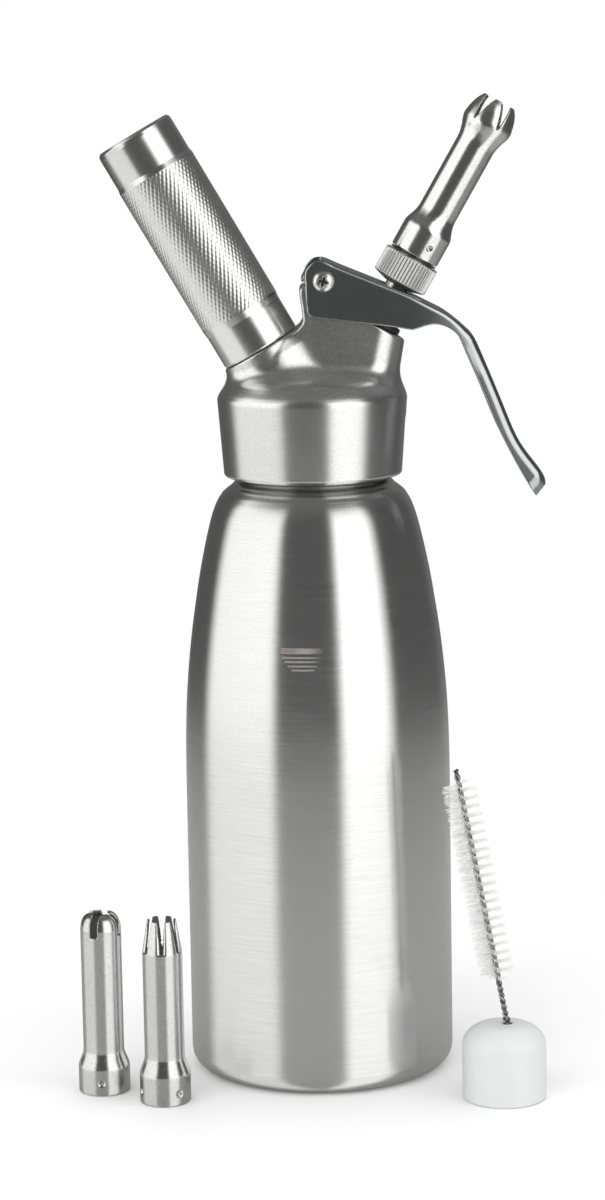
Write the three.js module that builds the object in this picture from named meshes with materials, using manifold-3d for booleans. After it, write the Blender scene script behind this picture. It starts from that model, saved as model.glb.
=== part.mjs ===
// Cream whipping dispenser with its set of tips and its cleaning brush, in millimetres, +Z up.
// The origin is the centre of the bottle's base. The lever side faces +X, the viewer stands at -Y.
import * as THREE from 'three';
import { mergeVertices } from 'three/addons/utils/BufferGeometryUtils.js';
import { ConvexGeometry } from 'three/addons/geometries/ConvexGeometry.js';
import Module from 'manifold-3d';

const wasm = await Module();
wasm.setup();

// Clearances
const seatGap = 0.3;
const runningGap = 0.4;
const cutOverrun = 5;

// Bottle
const bottleRadius = 47.5;
const bottleWall = 1.2;
const bottleFloor = 1.5;
const footRadius = 9;
const bottleStraightTop = 96;
const bottleShoulderHeight = 114.3;
const shoulderTop = bottleStraightTop + bottleShoulderHeight;
const neckRadius = 27;
const neckStep = 3.85;
const shoulderTopRadius = neckRadius + neckStep;
const neckStepHeight = 3.7;
const neckFoot = shoulderTop + neckStepHeight;
const neckHeight = 23;
const mouthHeight = neckFoot + neckHeight;
// Height up the shoulder, and how far in from the bottle to the shoulder's top edge
const shoulderShares = [
  [0.17, 0.006], [0.27, 0.024], [0.36, 0.056], [0.453, 0.111], [0.549, 0.186], [0.644, 0.282],
  [0.739, 0.39], [0.834, 0.525], [0.897, 0.63], [0.935, 0.71], [0.965, 0.8], [0.99, 0.91], [1, 1],
];

// Threaded ring welded round the neck
const neckRingWall = 1.7;
const neckThreadDepth = 0.6;
const neckThreadPitch = 4;
const neckThreadWidth = 1.6;
const neckThreadTurns = 3;
const neckRingFootGap = 2.7;
const neckThreadRadius = neckRadius + seatGap + neckRingWall;
const collarBore = neckThreadRadius + neckThreadDepth + runningGap;

// Gasket between the mouth and the head
const gasketSideGap = 0.7;
const gasketThickness = 2.8;
const gasketWidth = 5.8;
const gasketRadius = collarBore - gasketSideGap;

// Head: collar, dome, charger port, lever boss and nozzle boss
const collarFootGap = 0.9;
const collarWall = 1.6;
const collarFlare = 2;
const collarEdge = 0.8;
const ceilingWall = 2.7;
const collarBottom = neckFoot + collarFootGap;
const collarBottomRadius = collarBore + collarWall;
const headCeiling = mouthHeight + gasketThickness + 2 * seatGap;
const ridgeHeight = headCeiling + ceilingWall;
const ridgeRadius = collarBottomRadius + collarFlare;
const domeHeight = 8.4;
// Height above the ridge as a share of the dome, and radius as a share of the ridge radius
const domeShares = [[0.17, 0.975], [0.42, 0.915], [0.62, 0.86], [0.8, 0.74], [0.94, 0.5], [1, 0]];

// Charger, and the port that its holder screws onto
const chargerRadius = 9;
const chargerLength = 65.4;
const chargerBore = chargerRadius + runningGap;
const holderWall = 5.05;
const holderRadius = chargerBore + holderWall;
const portLean = 30;
const portRise = 17.1;
const portCentre = [-17.6, ridgeHeight + portRise];
const portLip = 0.4;
const portRadius = holderRadius + portLip;
const portStubDepth = 26;
const spigotWall = 1;
const spigotRadius = chargerBore + spigotWall;
const spigotHeight = 14;
const portRecessRadius = 4.7;
const portRecessDepth = 2.6;
const gasHoleRadius = 1.2;

// Nozzle side of the head
const nozzleLean = 30;
const nozzleRise = 24.95;
const nozzleCentre = [23, ridgeHeight + nozzleRise];
const nozzleRadius = 11.6;
const nozzleFootInset = 4.4;
const blockFootRise = 2.9;
const blockFootZ = ridgeHeight + blockFootRise;
const blockJoinInset = 19;
const springChamberRadius = 7.8;
const springChamberDepth = 21;
const seatRadius = 4.4;
const seatDepth = 3;
const sealChamberRadius = 6.6;

// Lever pivot, measured from the centre of the nozzle face, and the boss that carries it
const pivotInset = 18.45;
const pivotRise = 15.9;
const pivotX = nozzleCentre[0] - pivotInset;
const pivotZ = nozzleCentre[1] + pivotRise;
const bossHalfWidth = 8.15;
const bossLeft = pivotX - bossHalfWidth;
const bossRight = pivotX + bossHalfWidth;
const bossCrown = 4.45;
const bossTop = pivotZ + bossCrown;
const bossShoulderHeight = 7.9;
const bossShoulderZ = bossTop - bossShoulderHeight;
const screwRadius = 2;
const screwHeadRadius = 3.7;
const screwHeadHeight = 2.1;
const screwSlotWidth = 0.9;
const screwSlotDepth = 1.2;
const sleeveWall = 0.9;
const nutFlats = 7;
const nutHeight = 3;

// Lever: a stamped channel with two ears, a web and a tail
const earInset = 0.4;
const leverWall = 1.2;
const leverTailWidth = 20;
const leverTipWidth = 15;
// The ears and the web are drawn from the pivot, in shares of its distance from the nozzle
const leverArm = Math.hypot(pivotInset, pivotRise);
const earTopShares = [
  [-0.263, -0.072], [-0.259, 0.129], [-0.201, 0.224], [-0.099, 0.294], [0.037, 0.318],
  [0.244, 0.236], [0.753, 0.035], [1.213, -0.174], [1.521, -0.335], [1.739, -0.454],
  [1.915, -0.593], [2.055, -0.721],
];
const earUnderShares = [
  [1.961, -0.864], [1.833, -0.729], [1.677, -0.655], [1.521, -0.651], [1.304, -0.712],
  [1.209, -0.708], [0.979, -0.667], [0.745, -0.634], [0.302, -0.581], [-0.184, -0.515],
  [-0.216, -0.495], [-0.265, -0.261],
];
// The tail hangs from the knuckle, in shares of its run and its drop
const knuckleShare = [2.166, -0.856];
const tailRun = 26;
const tailDrop = 58.2;
const tailTopShares = [
  [0, 0], [0.15, -0.151], [0.338, -0.356], [0.527, -0.565], [0.677, -0.687], [0.908, -0.826],
  [1, -0.912],
];
const tailUnderShares = [
  [0.865, -1], [0.712, -0.892], [0.523, -0.737], [0.296, -0.527], [0.112, -0.321],
  [-0.077, -0.122],
];
const knuckle = fromPivot(knuckleShare);
const leverTop = [...earTopShares.map(fromPivot), ...tailTopShares.map(fromKnuckle)];
const leverUnder = [...tailUnderShares.map(fromKnuckle), ...earUnderShares.map(fromPivot)];
const webInset = 1.15;
const leverTaperStart = 39.45;
const leverTaperEnd = 52.45;

// Valve, measured along the nozzle axis from the head's face
const stemRadius = 3.2;
const stemLowerRadius = 2.4;
const stemNeckRadius = 4.2;
const stemBoreRadius = 1.7;
const stemTop = 24.3;
const stemBoreDepth = 15.4;
const crossHoleDepth = 14.2;
const crossHoleRadius = 1.1;
const shoulderRadius = 7.4;
const shoulderFlatRadius = 5.4;
const shoulderHeight = 2.6;
const shoulderLevel = 12.7;
const stemCollarRadius = 6.8;
const stemCollarHeight = 1.4;
const bushLength = 6;
const bushFlangeRadius = 8.8;
const bushFlangeHeight = 1.9;
const ringTube = 0.75;
const springWire = 1.2;
const springRadius = 5.9;
const springTurns = 5;
const sealRadius = 5.5;
const sealThickness = 2;
const sealFlangeRadius = 5;
const sealFlangeHeight = 1.4;
const valveTravel = 3.4;

// Nozzle adapter, the knurled ring that carries the tip
const adapterRadius = 10;
const adapterBottom = 16.7;
const adapterTop = 26.4;
const adapterRecessRadius = 8.4;
const adapterRecessHeight = 2.4;
const adapterFloor = 1.7;
const spoutRadius = 5.7;
const spoutHeight = 7.4;
const spoutBore = 2.4;
const tipBaseInset = 1.05;
const tipGasketThickness = 0.55;
const tipGasketInset = 1.2;

// Tips: all three share their base and their threaded insert
const tipWall = 0.95;
const tipBaseRadius = adapterRadius - tipBaseInset;
const tipTubeRadius = 7;
const insertHeight = 8.4;
const insertBore = spoutRadius + runningGap;
const insertLift = 0.3;
const tulipLength = 61;
const tulipBaseHeight = 10.8;
const tulipNeckHeight = 16;
const tulipBulgeStart = 44.4;
const tulipBulgeHeight = 52;
const tulipBulgeRadius = 8.95;
const tulipMouthRadius = 6.35;
const tulipSlots = 6;
const tulipSlotDepth = 9.2;
const tulipSlotWidth = 4;
const tulipSlotPhase = -37;
const starLength = 64.8;
const starBaseRadius = 9.05;
const starBaseHeight = 9.4;
const starNeckHeight = 14.9;
const starTubeRadius = 7.1;
const starDomeHeight = 5.6;
const starMouthRadius = 3.4;
const starSlots = 4;
const starSlotDepth = 7.9;
const starSlotWidth = 2.6;
const starSlotPhase = -18.6;
const fingerLength = 65.5;
const fingerBaseHeight = 10.3;
const fingerNeckHeight = 16.2;
const fingerTaperHeight = 54;
const fingerMouthRadius = 5.05;
const fingerSlots = 6;
const fingerSlotWidth = 3.6;
const fingerSlotPhase = 0;
const starTipPlace = [-77.8, -33.2];
const fingerTipPlace = [-55.6, -46.8];

// Charger holder and charger, measured along the port axis from the port face
const knurlHeight = 0.33;
const holderKnurlRadius = holderRadius + knurlHeight;
const chargerFoot = 8.9;
const chargerEndGap = 1.1;
const holderEnd = 11.5;
const holderLength = chargerFoot + chargerLength + chargerEndGap + holderEnd;
const holderPlainBottom = 13.8;
const holderPlainTop = 14.8;
const holderEdge = 0.9;
const holderThreadGap = 0.45;
const holderThreadDepth = spigotHeight + 2 * seatGap;
const chargerNeckRadius = 3.7;
const chargerNeckHeight = 9;
const chargerShoulderHeight = 8;
const pinTop = chargerFoot - seatGap;
const pinSeat = 4;
const pinRadius = 1;
const portGasketHeight = 1.2;

// Cleaning brush and the cap that it stands in
const capPlace = [63.4, -48.8];
const capRadius = 14.7;
const capHeight = 26.6;
const capStraight = 18.8;
const capWall = 1.4;
const brushLean = -10.7;
const brushExitX = 64.5;
const wireRadius = 0.75;
const wireTwistRadius = 0.72;
const wirePitch = 6.4;
const wireStepsPerPitch = 6;
const wireInCap = 14;
const wireHoleGap = 0.3;
const bristleStart = 17;
const bristleEnd = 87.5;
const wireEnd = 92.2;
const bristleSections = 4;
const bristlesPerSection = 76;
const bristleReach = 6.2;
const bristleWidth = 0.44;
const bristleCoreSides = 6;

// How finely the round parts are drawn
const bottleFacets = 40;
const headFacets = 32;
const threadFacets = 24;
const holderFacets = 32;
const tipFacets = 24;
const smallFacets = 16;
const ringSides = 6;

const steel = { color: 0xb9bab8, roughness: 0.34, metalness: 1 };
const polished = { color: 0xc9c9c6, roughness: 0.16, metalness: 1 };
const rubber = { color: 0x4a4c4e, roughness: 0.8, metalness: 0 };
const blackPlastic = { color: 0x17191a, roughness: 0.5, metalness: 0 };
const whitePlastic = { color: 0xeceeec, roughness: 0.45, metalness: 0 };
const nylon = { color: 0xf0f1ee, roughness: 0.6, metalness: 0 };

const degree = Math.PI / 180;

function fromPivot([right, up]) {
  return [pivotX + right * leverArm, pivotZ + up * leverArm];
}

function fromKnuckle([right, up]) {
  return [knuckle[0] + right * tailRun, knuckle[1] + up * tailDrop];
}

// A closed geometry as a solid: vertices merged, slivers at the poles dropped, faces outwards.
function solid(geometry) {
  const bare = geometry.clone();
  for (const name of Object.keys(bare.attributes)) {
    if (name !== 'position') bare.deleteAttribute(name);
  }
  const merged = mergeVertices(bare, 1e-4);
  const places = merged.getAttribute('position');
  const corners = [];
  for (let i = 0; i < merged.index.count; i += 3) {
    const [a, b, c] = [0, 1, 2].map((k) => merged.index.getX(i + k));
    if (a !== b && b !== c && c !== a) corners.push(a, b, c);
  }
  const point = (i) => new THREE.Vector3().fromBufferAttribute(places, i);
  let volume = 0;
  for (let i = 0; i < corners.length; i += 3) {
    volume += point(corners[i]).dot(point(corners[i + 1]).cross(point(corners[i + 2])));
  }
  if (volume < 0) corners.reverse();
  const mesh = new wasm.Mesh({
    numProp: 3,
    vertProperties: new Float32Array(places.array),
    triVerts: new Uint32Array(corners),
  });
  return new wasm.Manifold(mesh);
}

function joined(first, ...others) {
  return others.reduce((sum, other) => sum.add(other), first);
}

function cut(body, ...tools) {
  return tools.reduce((rest, tool) => rest.subtract(tool), body);
}

function meshOf(name, shape, finish) {
  const data = shape.getMesh();
  const geometry = new THREE.BufferGeometry();
  geometry.setAttribute('position', new THREE.BufferAttribute(data.vertProperties, 3));
  geometry.setIndex(new THREE.BufferAttribute(data.triVerts, 1));
  geometry.computeVertexNormals();
  const mesh = new THREE.Mesh(geometry, new THREE.MeshStandardMaterial(finish));
  mesh.name = name;
  return mesh;
}

// A profile of [radius, height] points turned about +Z; it closes on itself or on the axis.
function turned(profile, facets) {
  const outline = profile.map(([r, z]) => new THREE.Vector2(r, z));
  if (profile[0][0] > 0) outline.push(outline[0].clone());
  return solid(new THREE.LatheGeometry(outline, facets).rotateX(Math.PI / 2));
}

function rod(radius, low, high, facets = smallFacets) {
  return turned([[0, low], [radius, low], [radius, high], [0, high]], facets);
}

function ring(inner, outer, low, high, facets = smallFacets) {
  return turned([[inner, low], [outer, low], [outer, high], [inner, high]], facets);
}

function block(low, high) {
  const size = high.map((value, i) => value - low[i]);
  const middle = high.map((value, i) => (value + low[i]) / 2);
  return solid(new THREE.BoxGeometry(...size).translate(...middle));
}

// An outline in X and Z pushed out along Y, from -half to +half.
function pressedXZ(points, half) {
  const shape = new THREE.Shape(points.map(([x, z]) => new THREE.Vector2(x, z)));
  const geometry = new THREE.ExtrudeGeometry(shape, { depth: 2 * half, bevelEnabled: false });
  return solid(geometry.rotateX(Math.PI / 2).translate(0, half, 0));
}

// An outline in X and Y pushed up along Z.
function pressedXY(points, low, high) {
  const shape = new THREE.Shape(points.map(([x, y]) => new THREE.Vector2(x, y)));
  const geometry = new THREE.ExtrudeGeometry(shape, { depth: high - low, bevelEnabled: false });
  return solid(geometry.translate(0, 0, low));
}

function circlePoints(count, place) {
  return Array.from({ length: count }, (_, i) => place((2 * Math.PI * i) / count));
}

// Frames along the port and the nozzle: +Z of each frame leaves the head.
function leaningFrame([x, z], lean) {
  const frame = new THREE.Group();
  frame.position.set(x, 0, z);
  frame.rotation.y = lean * degree;
  frame.updateMatrix();
  return frame;
}

const portFrame = leaningFrame(portCentre, -portLean);
const nozzleFrame = leaningFrame(nozzleCentre, nozzleLean);

function placedIn(frame, shape) {
  const { elements } = frame.matrix;
  return shape.transform(elements);
}

function bottleOuter() {
  const foot = circlePoints(20, (angle) => angle).slice(0, 6);
  const points = foot.map((angle) => [
    bottleRadius - footRadius + footRadius * Math.sin(angle),
    footRadius - footRadius * Math.cos(angle),
  ]);
  points.push([bottleRadius, bottleStraightTop]);
  for (const [up, inward] of shoulderShares) {
    points.push([
      bottleRadius - inward * (bottleRadius - shoulderTopRadius),
      bottleStraightTop + up * (shoulderTop - bottleStraightTop),
    ]);
  }
  points.push([neckRadius, neckFoot], [neckRadius, mouthHeight]);
  return points;
}

function bottleShell() {
  const outer = bottleOuter();
  const shoulder = outer.length - shoulderShares.length - 2;
  const body = outer.slice(0, -2);
  const inner = body.filter((_, i) => i > 2 && (i < shoulder || (i - shoulder) % 2 === 0));
  const wall = inner.map(([r, z]) => [r - bottleWall, z]).reverse();
  wall.unshift([neckRadius - bottleWall, mouthHeight], [neckRadius - bottleWall, neckFoot]);
  const floorRadius = bottleRadius - footRadius;
  return turned([
    [0, 0], ...outer, ...wall, [floorRadius, bottleFloor], [0, bottleFloor],
  ], bottleFacets);
}

// One unbroken thread ridge round the neck ring, from a section carried along a helix.
function helicalRidge(radius, pitch, turns, width, depth, low, facets) {
  const steps = Math.round(turns * facets);
  const places = [];
  const corners = [];
  const section = [[-depth, -width], [-depth, width], [depth, width / 2], [depth, -width / 2]];
  for (let i = 0; i <= steps; i += 1) {
    const angle = (2 * Math.PI * i) / facets;
    const middle = low + (pitch * i) / facets;
    for (const [out, up] of section) {
      const reach = radius + out;
      places.push(reach * Math.cos(angle), reach * Math.sin(angle), middle + up / 2);
    }
  }
  const count = section.length;
  for (let i = 0; i < steps; i += 1) {
    for (let k = 0; k < count; k += 1) {
      const a = i * count + k;
      const b = i * count + ((k + 1) % count);
      corners.push(a, a + count, b, b, a + count, b + count);
    }
  }
  const last = steps * count;
  corners.push(0, 1, 2, 0, 2, 3, last, last + 2, last + 1, last, last + 3, last + 2);
  const geometry = new THREE.BufferGeometry();
  geometry.setAttribute('position', new THREE.Float32BufferAttribute(places, 3));
  geometry.setIndex(corners);
  return solid(geometry);
}

function neckRing() {
  const inner = neckRadius + seatGap;
  const outer = neckThreadRadius;
  const top = mouthHeight - seatGap;
  const low = neckFoot + neckRingFootGap;
  const threadLow = low + neckThreadPitch;
  const ridge = helicalRidge(
    outer, neckThreadPitch, neckThreadTurns, neckThreadWidth, neckThreadDepth, threadLow,
    threadFacets,
  );
  return ring(inner, outer, low, top, threadFacets).add(ridge);
}

function headGasket() {
  const low = mouthHeight + seatGap;
  return ring(gasketRadius - gasketWidth, gasketRadius, low, low + gasketThickness, headFacets);
}

function nozzleBlock() {
  const onFace = circlePoints(headFacets, (a) => {
    const local = new THREE.Vector3(nozzleRadius * Math.cos(a), nozzleRadius * Math.sin(a), 0);
    return local.applyMatrix4(nozzleFrame.matrix);
  });
  const onFoot = circlePoints(headFacets, (a) => new THREE.Vector3(
    nozzleCentre[0] - nozzleFootInset + nozzleRadius * Math.cos(a), nozzleRadius * Math.sin(a),
    blockFootZ,
  ));
  const joinZ = nozzleCentre[1] + nozzleRadius * Math.sin(nozzleLean * degree) - runningGap;
  const atJoin = [blockFootZ, joinZ].flatMap((z) => [-nozzleRadius, nozzleRadius].map(
    (y) => new THREE.Vector3(nozzleCentre[0] - blockJoinInset, y, z),
  ));
  return solid(new ConvexGeometry([...onFace, ...onFoot, ...atJoin]));
}

function leverBoss() {
  const rise = bossTop - bossShoulderZ;
  const outline = [
    [bossLeft, blockFootZ], [bossRight, blockFootZ],
    [bossRight, nozzleCentre[1] + nozzleRadius * Math.sin(nozzleLean * degree) - runningGap],
    [bossRight - 0.15 * rise, bossShoulderZ],
    [pivotX + 0.5 * rise, bossTop - 0.2 * rise],
    [pivotX, bossTop], [bossLeft + 0.5 * rise, bossTop - 0.14 * rise],
    [bossLeft + 0.15 * rise, bossTop - 0.48 * rise], [bossLeft, bossShoulderZ],
  ];
  return pressedXZ(outline, nozzleRadius);
}

function headCasting() {
  const dome = domeShares.map(([up, out]) => [
    ridgeRadius * out, ridgeHeight + up * domeHeight,
  ]);
  const collar = turned([
    [0, collarBottom], [collarBottomRadius - collarEdge, collarBottom],
    [collarBottomRadius, collarBottom + collarEdge],
    [ridgeRadius, ridgeHeight], ...dome,
  ], headFacets);
  const stub = placedIn(portFrame, rod(portRadius, -portStubDepth, 0, headFacets));
  const spigot = placedIn(portFrame, rod(spigotRadius, -seatGap, spigotHeight, holderFacets));
  const hollow = rod(collarBore, collarBottom - cutOverrun, headCeiling, headFacets);
  const recess = placedIn(portFrame, rod(
    portRecessRadius, portRecessDepth, spigotHeight + cutOverrun,
  ));
  const gasHole = placedIn(portFrame, rod(gasHoleRadius, -portStubDepth, portRecessDepth + seatGap));
  const chamber = placedIn(nozzleFrame, rod(springChamberRadius, -springChamberDepth, cutOverrun));
  const seatLow = -springChamberDepth - seatDepth;
  const seatBore = placedIn(nozzleFrame, rod(seatRadius, seatLow - seatGap, -springChamberDepth + seatGap));
  const sealRoom = placedIn(nozzleFrame, rod(
    sealChamberRadius, seatLow - sealChamberRadius - cutOverrun, seatLow,
  ));
  const pivotBore = pivotHole(screwRadius + seatGap + sleeveWall + seatGap);
  return cut(
    joined(collar, stub, spigot, nozzleBlock(), leverBoss()),
    hollow, recess, gasHole, chamber, seatBore, sealRoom, pivotBore,
  );
}

function alongY(shape) {
  return shape.rotate([-90, 0, 0]).translate([pivotX, 0, pivotZ]);
}

function pivotHole(radius) {
  const reach = nozzleRadius + cutOverrun;
  return alongY(rod(radius, -reach, reach));
}

function leverHalfWidth() {
  return nozzleRadius + earInset + leverWall;
}

function pivotSleeve() {
  const inner = screwRadius + seatGap;
  const half = nozzleRadius - seatGap;
  return alongY(ring(inner, inner + sleeveWall, -half, half));
}

function leverScrew() {
  const seat = -leverHalfWidth() - seatGap;
  const end = leverHalfWidth() + seatGap + nutHeight + seatGap;
  const crown = 0.45 * screwHeadHeight;
  const body = turned([
    [0, seat - screwHeadHeight], [0.55 * screwHeadRadius, seat - screwHeadHeight],
    [0.9 * screwHeadRadius, seat - screwHeadHeight + crown], [screwHeadRadius, seat - 0.3 * crown],
    [screwHeadRadius, seat], [screwRadius, seat], [screwRadius, end], [0, end],
  ], smallFacets);
  const reach = 0.62 * screwHeadRadius;
  const half = screwSlotWidth / 2;
  const low = seat - screwHeadHeight - cutOverrun;
  const high = seat - screwHeadHeight + screwSlotDepth;
  const slots = [
    block([-reach, -half, low], [reach, half, high]),
    block([-half, -reach, low], [half, reach, high]),
  ];
  return alongY(cut(body, ...slots));
}

function leverNut() {
  const low = leverHalfWidth() + seatGap;
  const acrossCorners = nutFlats / Math.cos(30 * degree) / 2;
  const hex = turned([[0, low], [acrossCorners, low], [acrossCorners, low + nutHeight],
    [0, low + nutHeight]], 6);
  const bore = rod(screwRadius + seatGap, low - cutOverrun, low + nutHeight + cutOverrun);
  return alongY(cut(hex, bore));
}

// The top line moved inwards by the sheet's thickness, for the hollow under the web.
function innerLine(points, inset) {
  return points.map((point, i) => {
    const before = points[Math.max(i - 1, 0)];
    const after = points[Math.min(i + 1, points.length - 1)];
    const run = new THREE.Vector2(after[0] - before[0], after[1] - before[1]).normalize();
    return [point[0] + run.y * inset, point[1] - run.x * inset];
  });
}

function leverPlan(inset, overrun) {
  const wide = leverHalfWidth() - inset;
  const tail = leverTailWidth / 2 - inset;
  const tip = leverTipWidth / 2 - inset;
  const left = leverTop[0][0] - cutOverrun;
  const taperStart = pivotX + leverTaperStart;
  const end = leverTop[leverTop.length - 1][0];
  const side = [
    [left, wide], [taperStart, wide], [pivotX + leverTaperEnd, tail],
    [end - 0.35 * leverTipWidth, tip], [end - 0.12 * leverTipWidth, 0.8 * tip],
    [end + overrun, 0.4 * tip],
  ];
  const other = side.map(([x, y]) => [x, -y]).reverse();
  return pressedXY([...side, ...other], pivotZ - 2 * tailDrop, pivotZ + tailDrop);
}

function lever() {
  const outline = pressedXZ([...leverTop, ...leverUnder], leverHalfWidth());
  const body = outline.intersect(leverPlan(0, seatGap));
  const webTop = leverTop.filter(([x]) => x > pivotX - webInset);
  const roof = innerLine(webTop, leverWall);
  const tailEnd = roof[roof.length - 1];
  const hollowOutline = pressedXZ([
    [roof[0][0] - 2 * leverTipWidth, roof[0][1] + leverTipWidth], [roof[0][0], roof[0][1] + leverTipWidth],
    ...roof, [tailEnd[0], tailEnd[1] - leverTipWidth],
    [tailEnd[0] - leverTipWidth, tailEnd[1] - leverTipWidth],
    [pivotX + leverTaperEnd - leverTailWidth, pivotZ - leverTailWidth - leverTipWidth],
    [roof[0][0] - 2 * leverTipWidth, pivotZ - leverTailWidth - leverTipWidth],
  ], leverHalfWidth());
  const hollow = hollowOutline.intersect(leverPlan(leverWall, cutOverrun));
  const slide = stemNeckRadius + runningGap;
  const lean = valveTravel / 2;
  const slot = placedIn(nozzleFrame, joined(
    rod(slide, 0, adapterBottom + cutOverrun),
    rod(slide, 0, adapterBottom + cutOverrun).translate([-lean, 0, 0]),
    block([-lean, -slide, 0], [0, slide, adapterBottom + cutOverrun]),
  ));
  const reach = leverHalfWidth() + cutOverrun;
  const pin = alongY(rod(screwRadius + seatGap, -reach, reach));
  return cut(body, hollow, slot, pin);
}

function valveStem() {
  const collarTop = -bushLength - seatGap;
  const collarLow = collarTop - stemCollarHeight;
  const sealTop = -springChamberDepth - seatDepth - seatGap;
  const flangeTop = sealTop - sealThickness - seatGap;
  const flangeLow = flangeTop - sealFlangeHeight;
  const body = turned([
    [0, flangeLow], [sealFlangeRadius, flangeLow], [sealFlangeRadius, flangeTop],
    [stemLowerRadius, flangeTop], [stemLowerRadius, collarLow], [stemCollarRadius, collarLow],
    [stemCollarRadius, collarTop], [stemRadius, collarTop],
    [stemRadius, shoulderLevel - shoulderHeight], [shoulderRadius, shoulderLevel - shoulderHeight],
    [shoulderRadius, shoulderLevel - 0.3 * shoulderHeight], [shoulderFlatRadius, shoulderLevel],
    [stemNeckRadius, shoulderLevel], [stemNeckRadius, stemTop], [0, stemTop],
  ], smallFacets);
  const bore = rod(stemBoreRadius, -stemBoreDepth, stemTop + cutOverrun);
  const cross = rod(crossHoleRadius, -cutOverrun, cutOverrun, 12).rotate([90, 0, 0]);
  return cut(body, bore, cross.translate([0, 0, -crossHoleDepth]));
}

function valveBush() {
  const bore = stemRadius + runningGap;
  const grooveRadius = stemRadius + seatGap + 2 * ringTube + seatGap;
  const grooveHalf = ringTube + seatGap;
  const middle = -bushLength / 2;
  return turned([
    [bore, -bushLength], [springChamberRadius - seatGap, -bushLength],
    [springChamberRadius - seatGap, seatGap], [bushFlangeRadius, seatGap],
    [bushFlangeRadius, bushFlangeHeight], [bushFlangeRadius - seatGap, bushFlangeHeight + seatGap],
    [bore, bushFlangeHeight + seatGap], [bore, middle + grooveHalf],
    [grooveRadius, middle + grooveHalf], [grooveRadius, middle - grooveHalf],
    [bore, middle - grooveHalf],
  ], smallFacets);
}

function stemRing() {
  const middle = stemRadius + seatGap + ringTube;
  const section = circlePoints(ringSides, (a) => [
    middle + ringTube * Math.cos(a), -bushLength / 2 + ringTube * Math.sin(a),
  ]);
  return turned(section, smallFacets);
}

function valveSeal() {
  const top = -springChamberDepth - seatDepth - seatGap;
  return ring(stemLowerRadius + seatGap, sealRadius, top - sealThickness, top);
}

// An unbroken spring: its wire follows a helix, with both ends closed flat.
function returnSpring() {
  const steps = 8 * springTurns;
  const sides = 5;
  const low = -springChamberDepth + seatGap + springWire / 2;
  const high = -bushLength - seatGap - stemCollarHeight - seatGap - springWire / 2;
  const places = [];
  const corners = [];
  for (let i = 0; i <= steps; i += 1) {
    const angle = (2 * Math.PI * i) / 8;
    const height = low + ((high - low) * i) / steps;
    for (let k = 0; k < sides; k += 1) {
      const turn = (2 * Math.PI * k) / sides;
      const reach = springRadius + (springWire / 2) * Math.cos(turn);
      places.push(reach * Math.cos(angle), reach * Math.sin(angle));
      places.push(height + (springWire / 2) * Math.sin(turn));
    }
  }
  for (let i = 0; i < steps; i += 1) {
    for (let k = 0; k < sides; k += 1) {
      const a = i * sides + k;
      const b = i * sides + ((k + 1) % sides);
      corners.push(a, a + sides, b, b, a + sides, b + sides);
    }
  }
  const last = steps * sides;
  for (let k = 1; k < sides - 1; k += 1) {
    corners.push(0, k, k + 1, last, last + k + 1, last + k);
  }
  const geometry = new THREE.BufferGeometry();
  geometry.setAttribute('position', new THREE.Float32BufferAttribute(places, 3));
  geometry.setIndex(corners);
  const leastGap = (high - low) / springTurns - springWire;
  console.log(`return spring: least gap between curls ${leastGap.toFixed(2)} mm`);
  return solid(geometry);
}

function nozzleAdapter() {
  const bore = stemNeckRadius + seatGap;
  const recessTop = adapterBottom + adapterRecessHeight;
  const edge = 0.4;
  return turned([
    [adapterRecessRadius, adapterBottom], [adapterRadius - edge, adapterBottom],
    [adapterRadius, adapterBottom + edge], [adapterRadius, adapterTop - edge],
    [adapterRadius - edge, adapterTop], [spoutRadius, adapterTop],
    [spoutRadius, adapterTop + spoutHeight], [spoutBore, adapterTop + spoutHeight],
    [spoutBore, adapterTop - adapterFloor], [bore, adapterTop - adapterFloor],
    [bore, recessTop], [adapterRecessRadius, recessTop],
  ], holderFacets);
}

function tipBase() {
  return adapterTop + seatGap + tipGasketThickness + seatGap;
}

function tipGasket() {
  const low = adapterTop + seatGap;
  return ring(
    spoutRadius + seatGap, adapterRadius - tipGasketInset, low, low + tipGasketThickness, tipFacets,
  );
}

// A thin-walled tube whose outside follows [radius, height] points.
function tipTube(outer) {
  const inner = outer.map(([r, z]) => [r - tipWall, z]).reverse();
  return turned([...outer, ...inner], tipFacets);
}

// Cuts right across the mouth; each makes two slots, wide at the top and `foot` wide below.
function slotCuts(count, phase, width, foot, top, depth, reach) {
  return Array.from({ length: count / 2 }, (_, i) => {
    const outline = [
      [-foot / 2, top - depth], [foot / 2, top - depth],
      [width / 2, top], [width / 2, top + cutOverrun], [-width / 2, top + cutOverrun],
      [-width / 2, top],
    ];
    const turn = phase + (360 * i) / count;
    return pressedXZ(outline, reach).rotate([0, 0, turn]);
  });
}

function tulipTip() {
  const tube = tipTube([
    [tipBaseRadius, 0], [tipBaseRadius, tulipBaseHeight],
    [tipBaseRadius - 0.35 * (tipBaseRadius - tipTubeRadius), 0.5 * (tulipBaseHeight + tulipNeckHeight)],
    [tipTubeRadius, tulipNeckHeight], [tipTubeRadius, tulipBulgeStart],
    [tulipBulgeRadius - 0.5 * tipWall, tulipBulgeHeight - 2.5 * tipWall],
    [tulipBulgeRadius, tulipBulgeHeight],
    [tulipBulgeRadius - 0.6 * tipWall, tulipBulgeHeight + 3 * tipWall],
    [tulipMouthRadius, tulipLength],
  ]);
  const apex = 0.12 * tulipSlotWidth;
  return cut(tube, ...slotCuts(
    tulipSlots, tulipSlotPhase, tulipSlotWidth, apex, tulipLength, tulipSlotDepth, 2 * tipBaseRadius,
  ));
}

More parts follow.
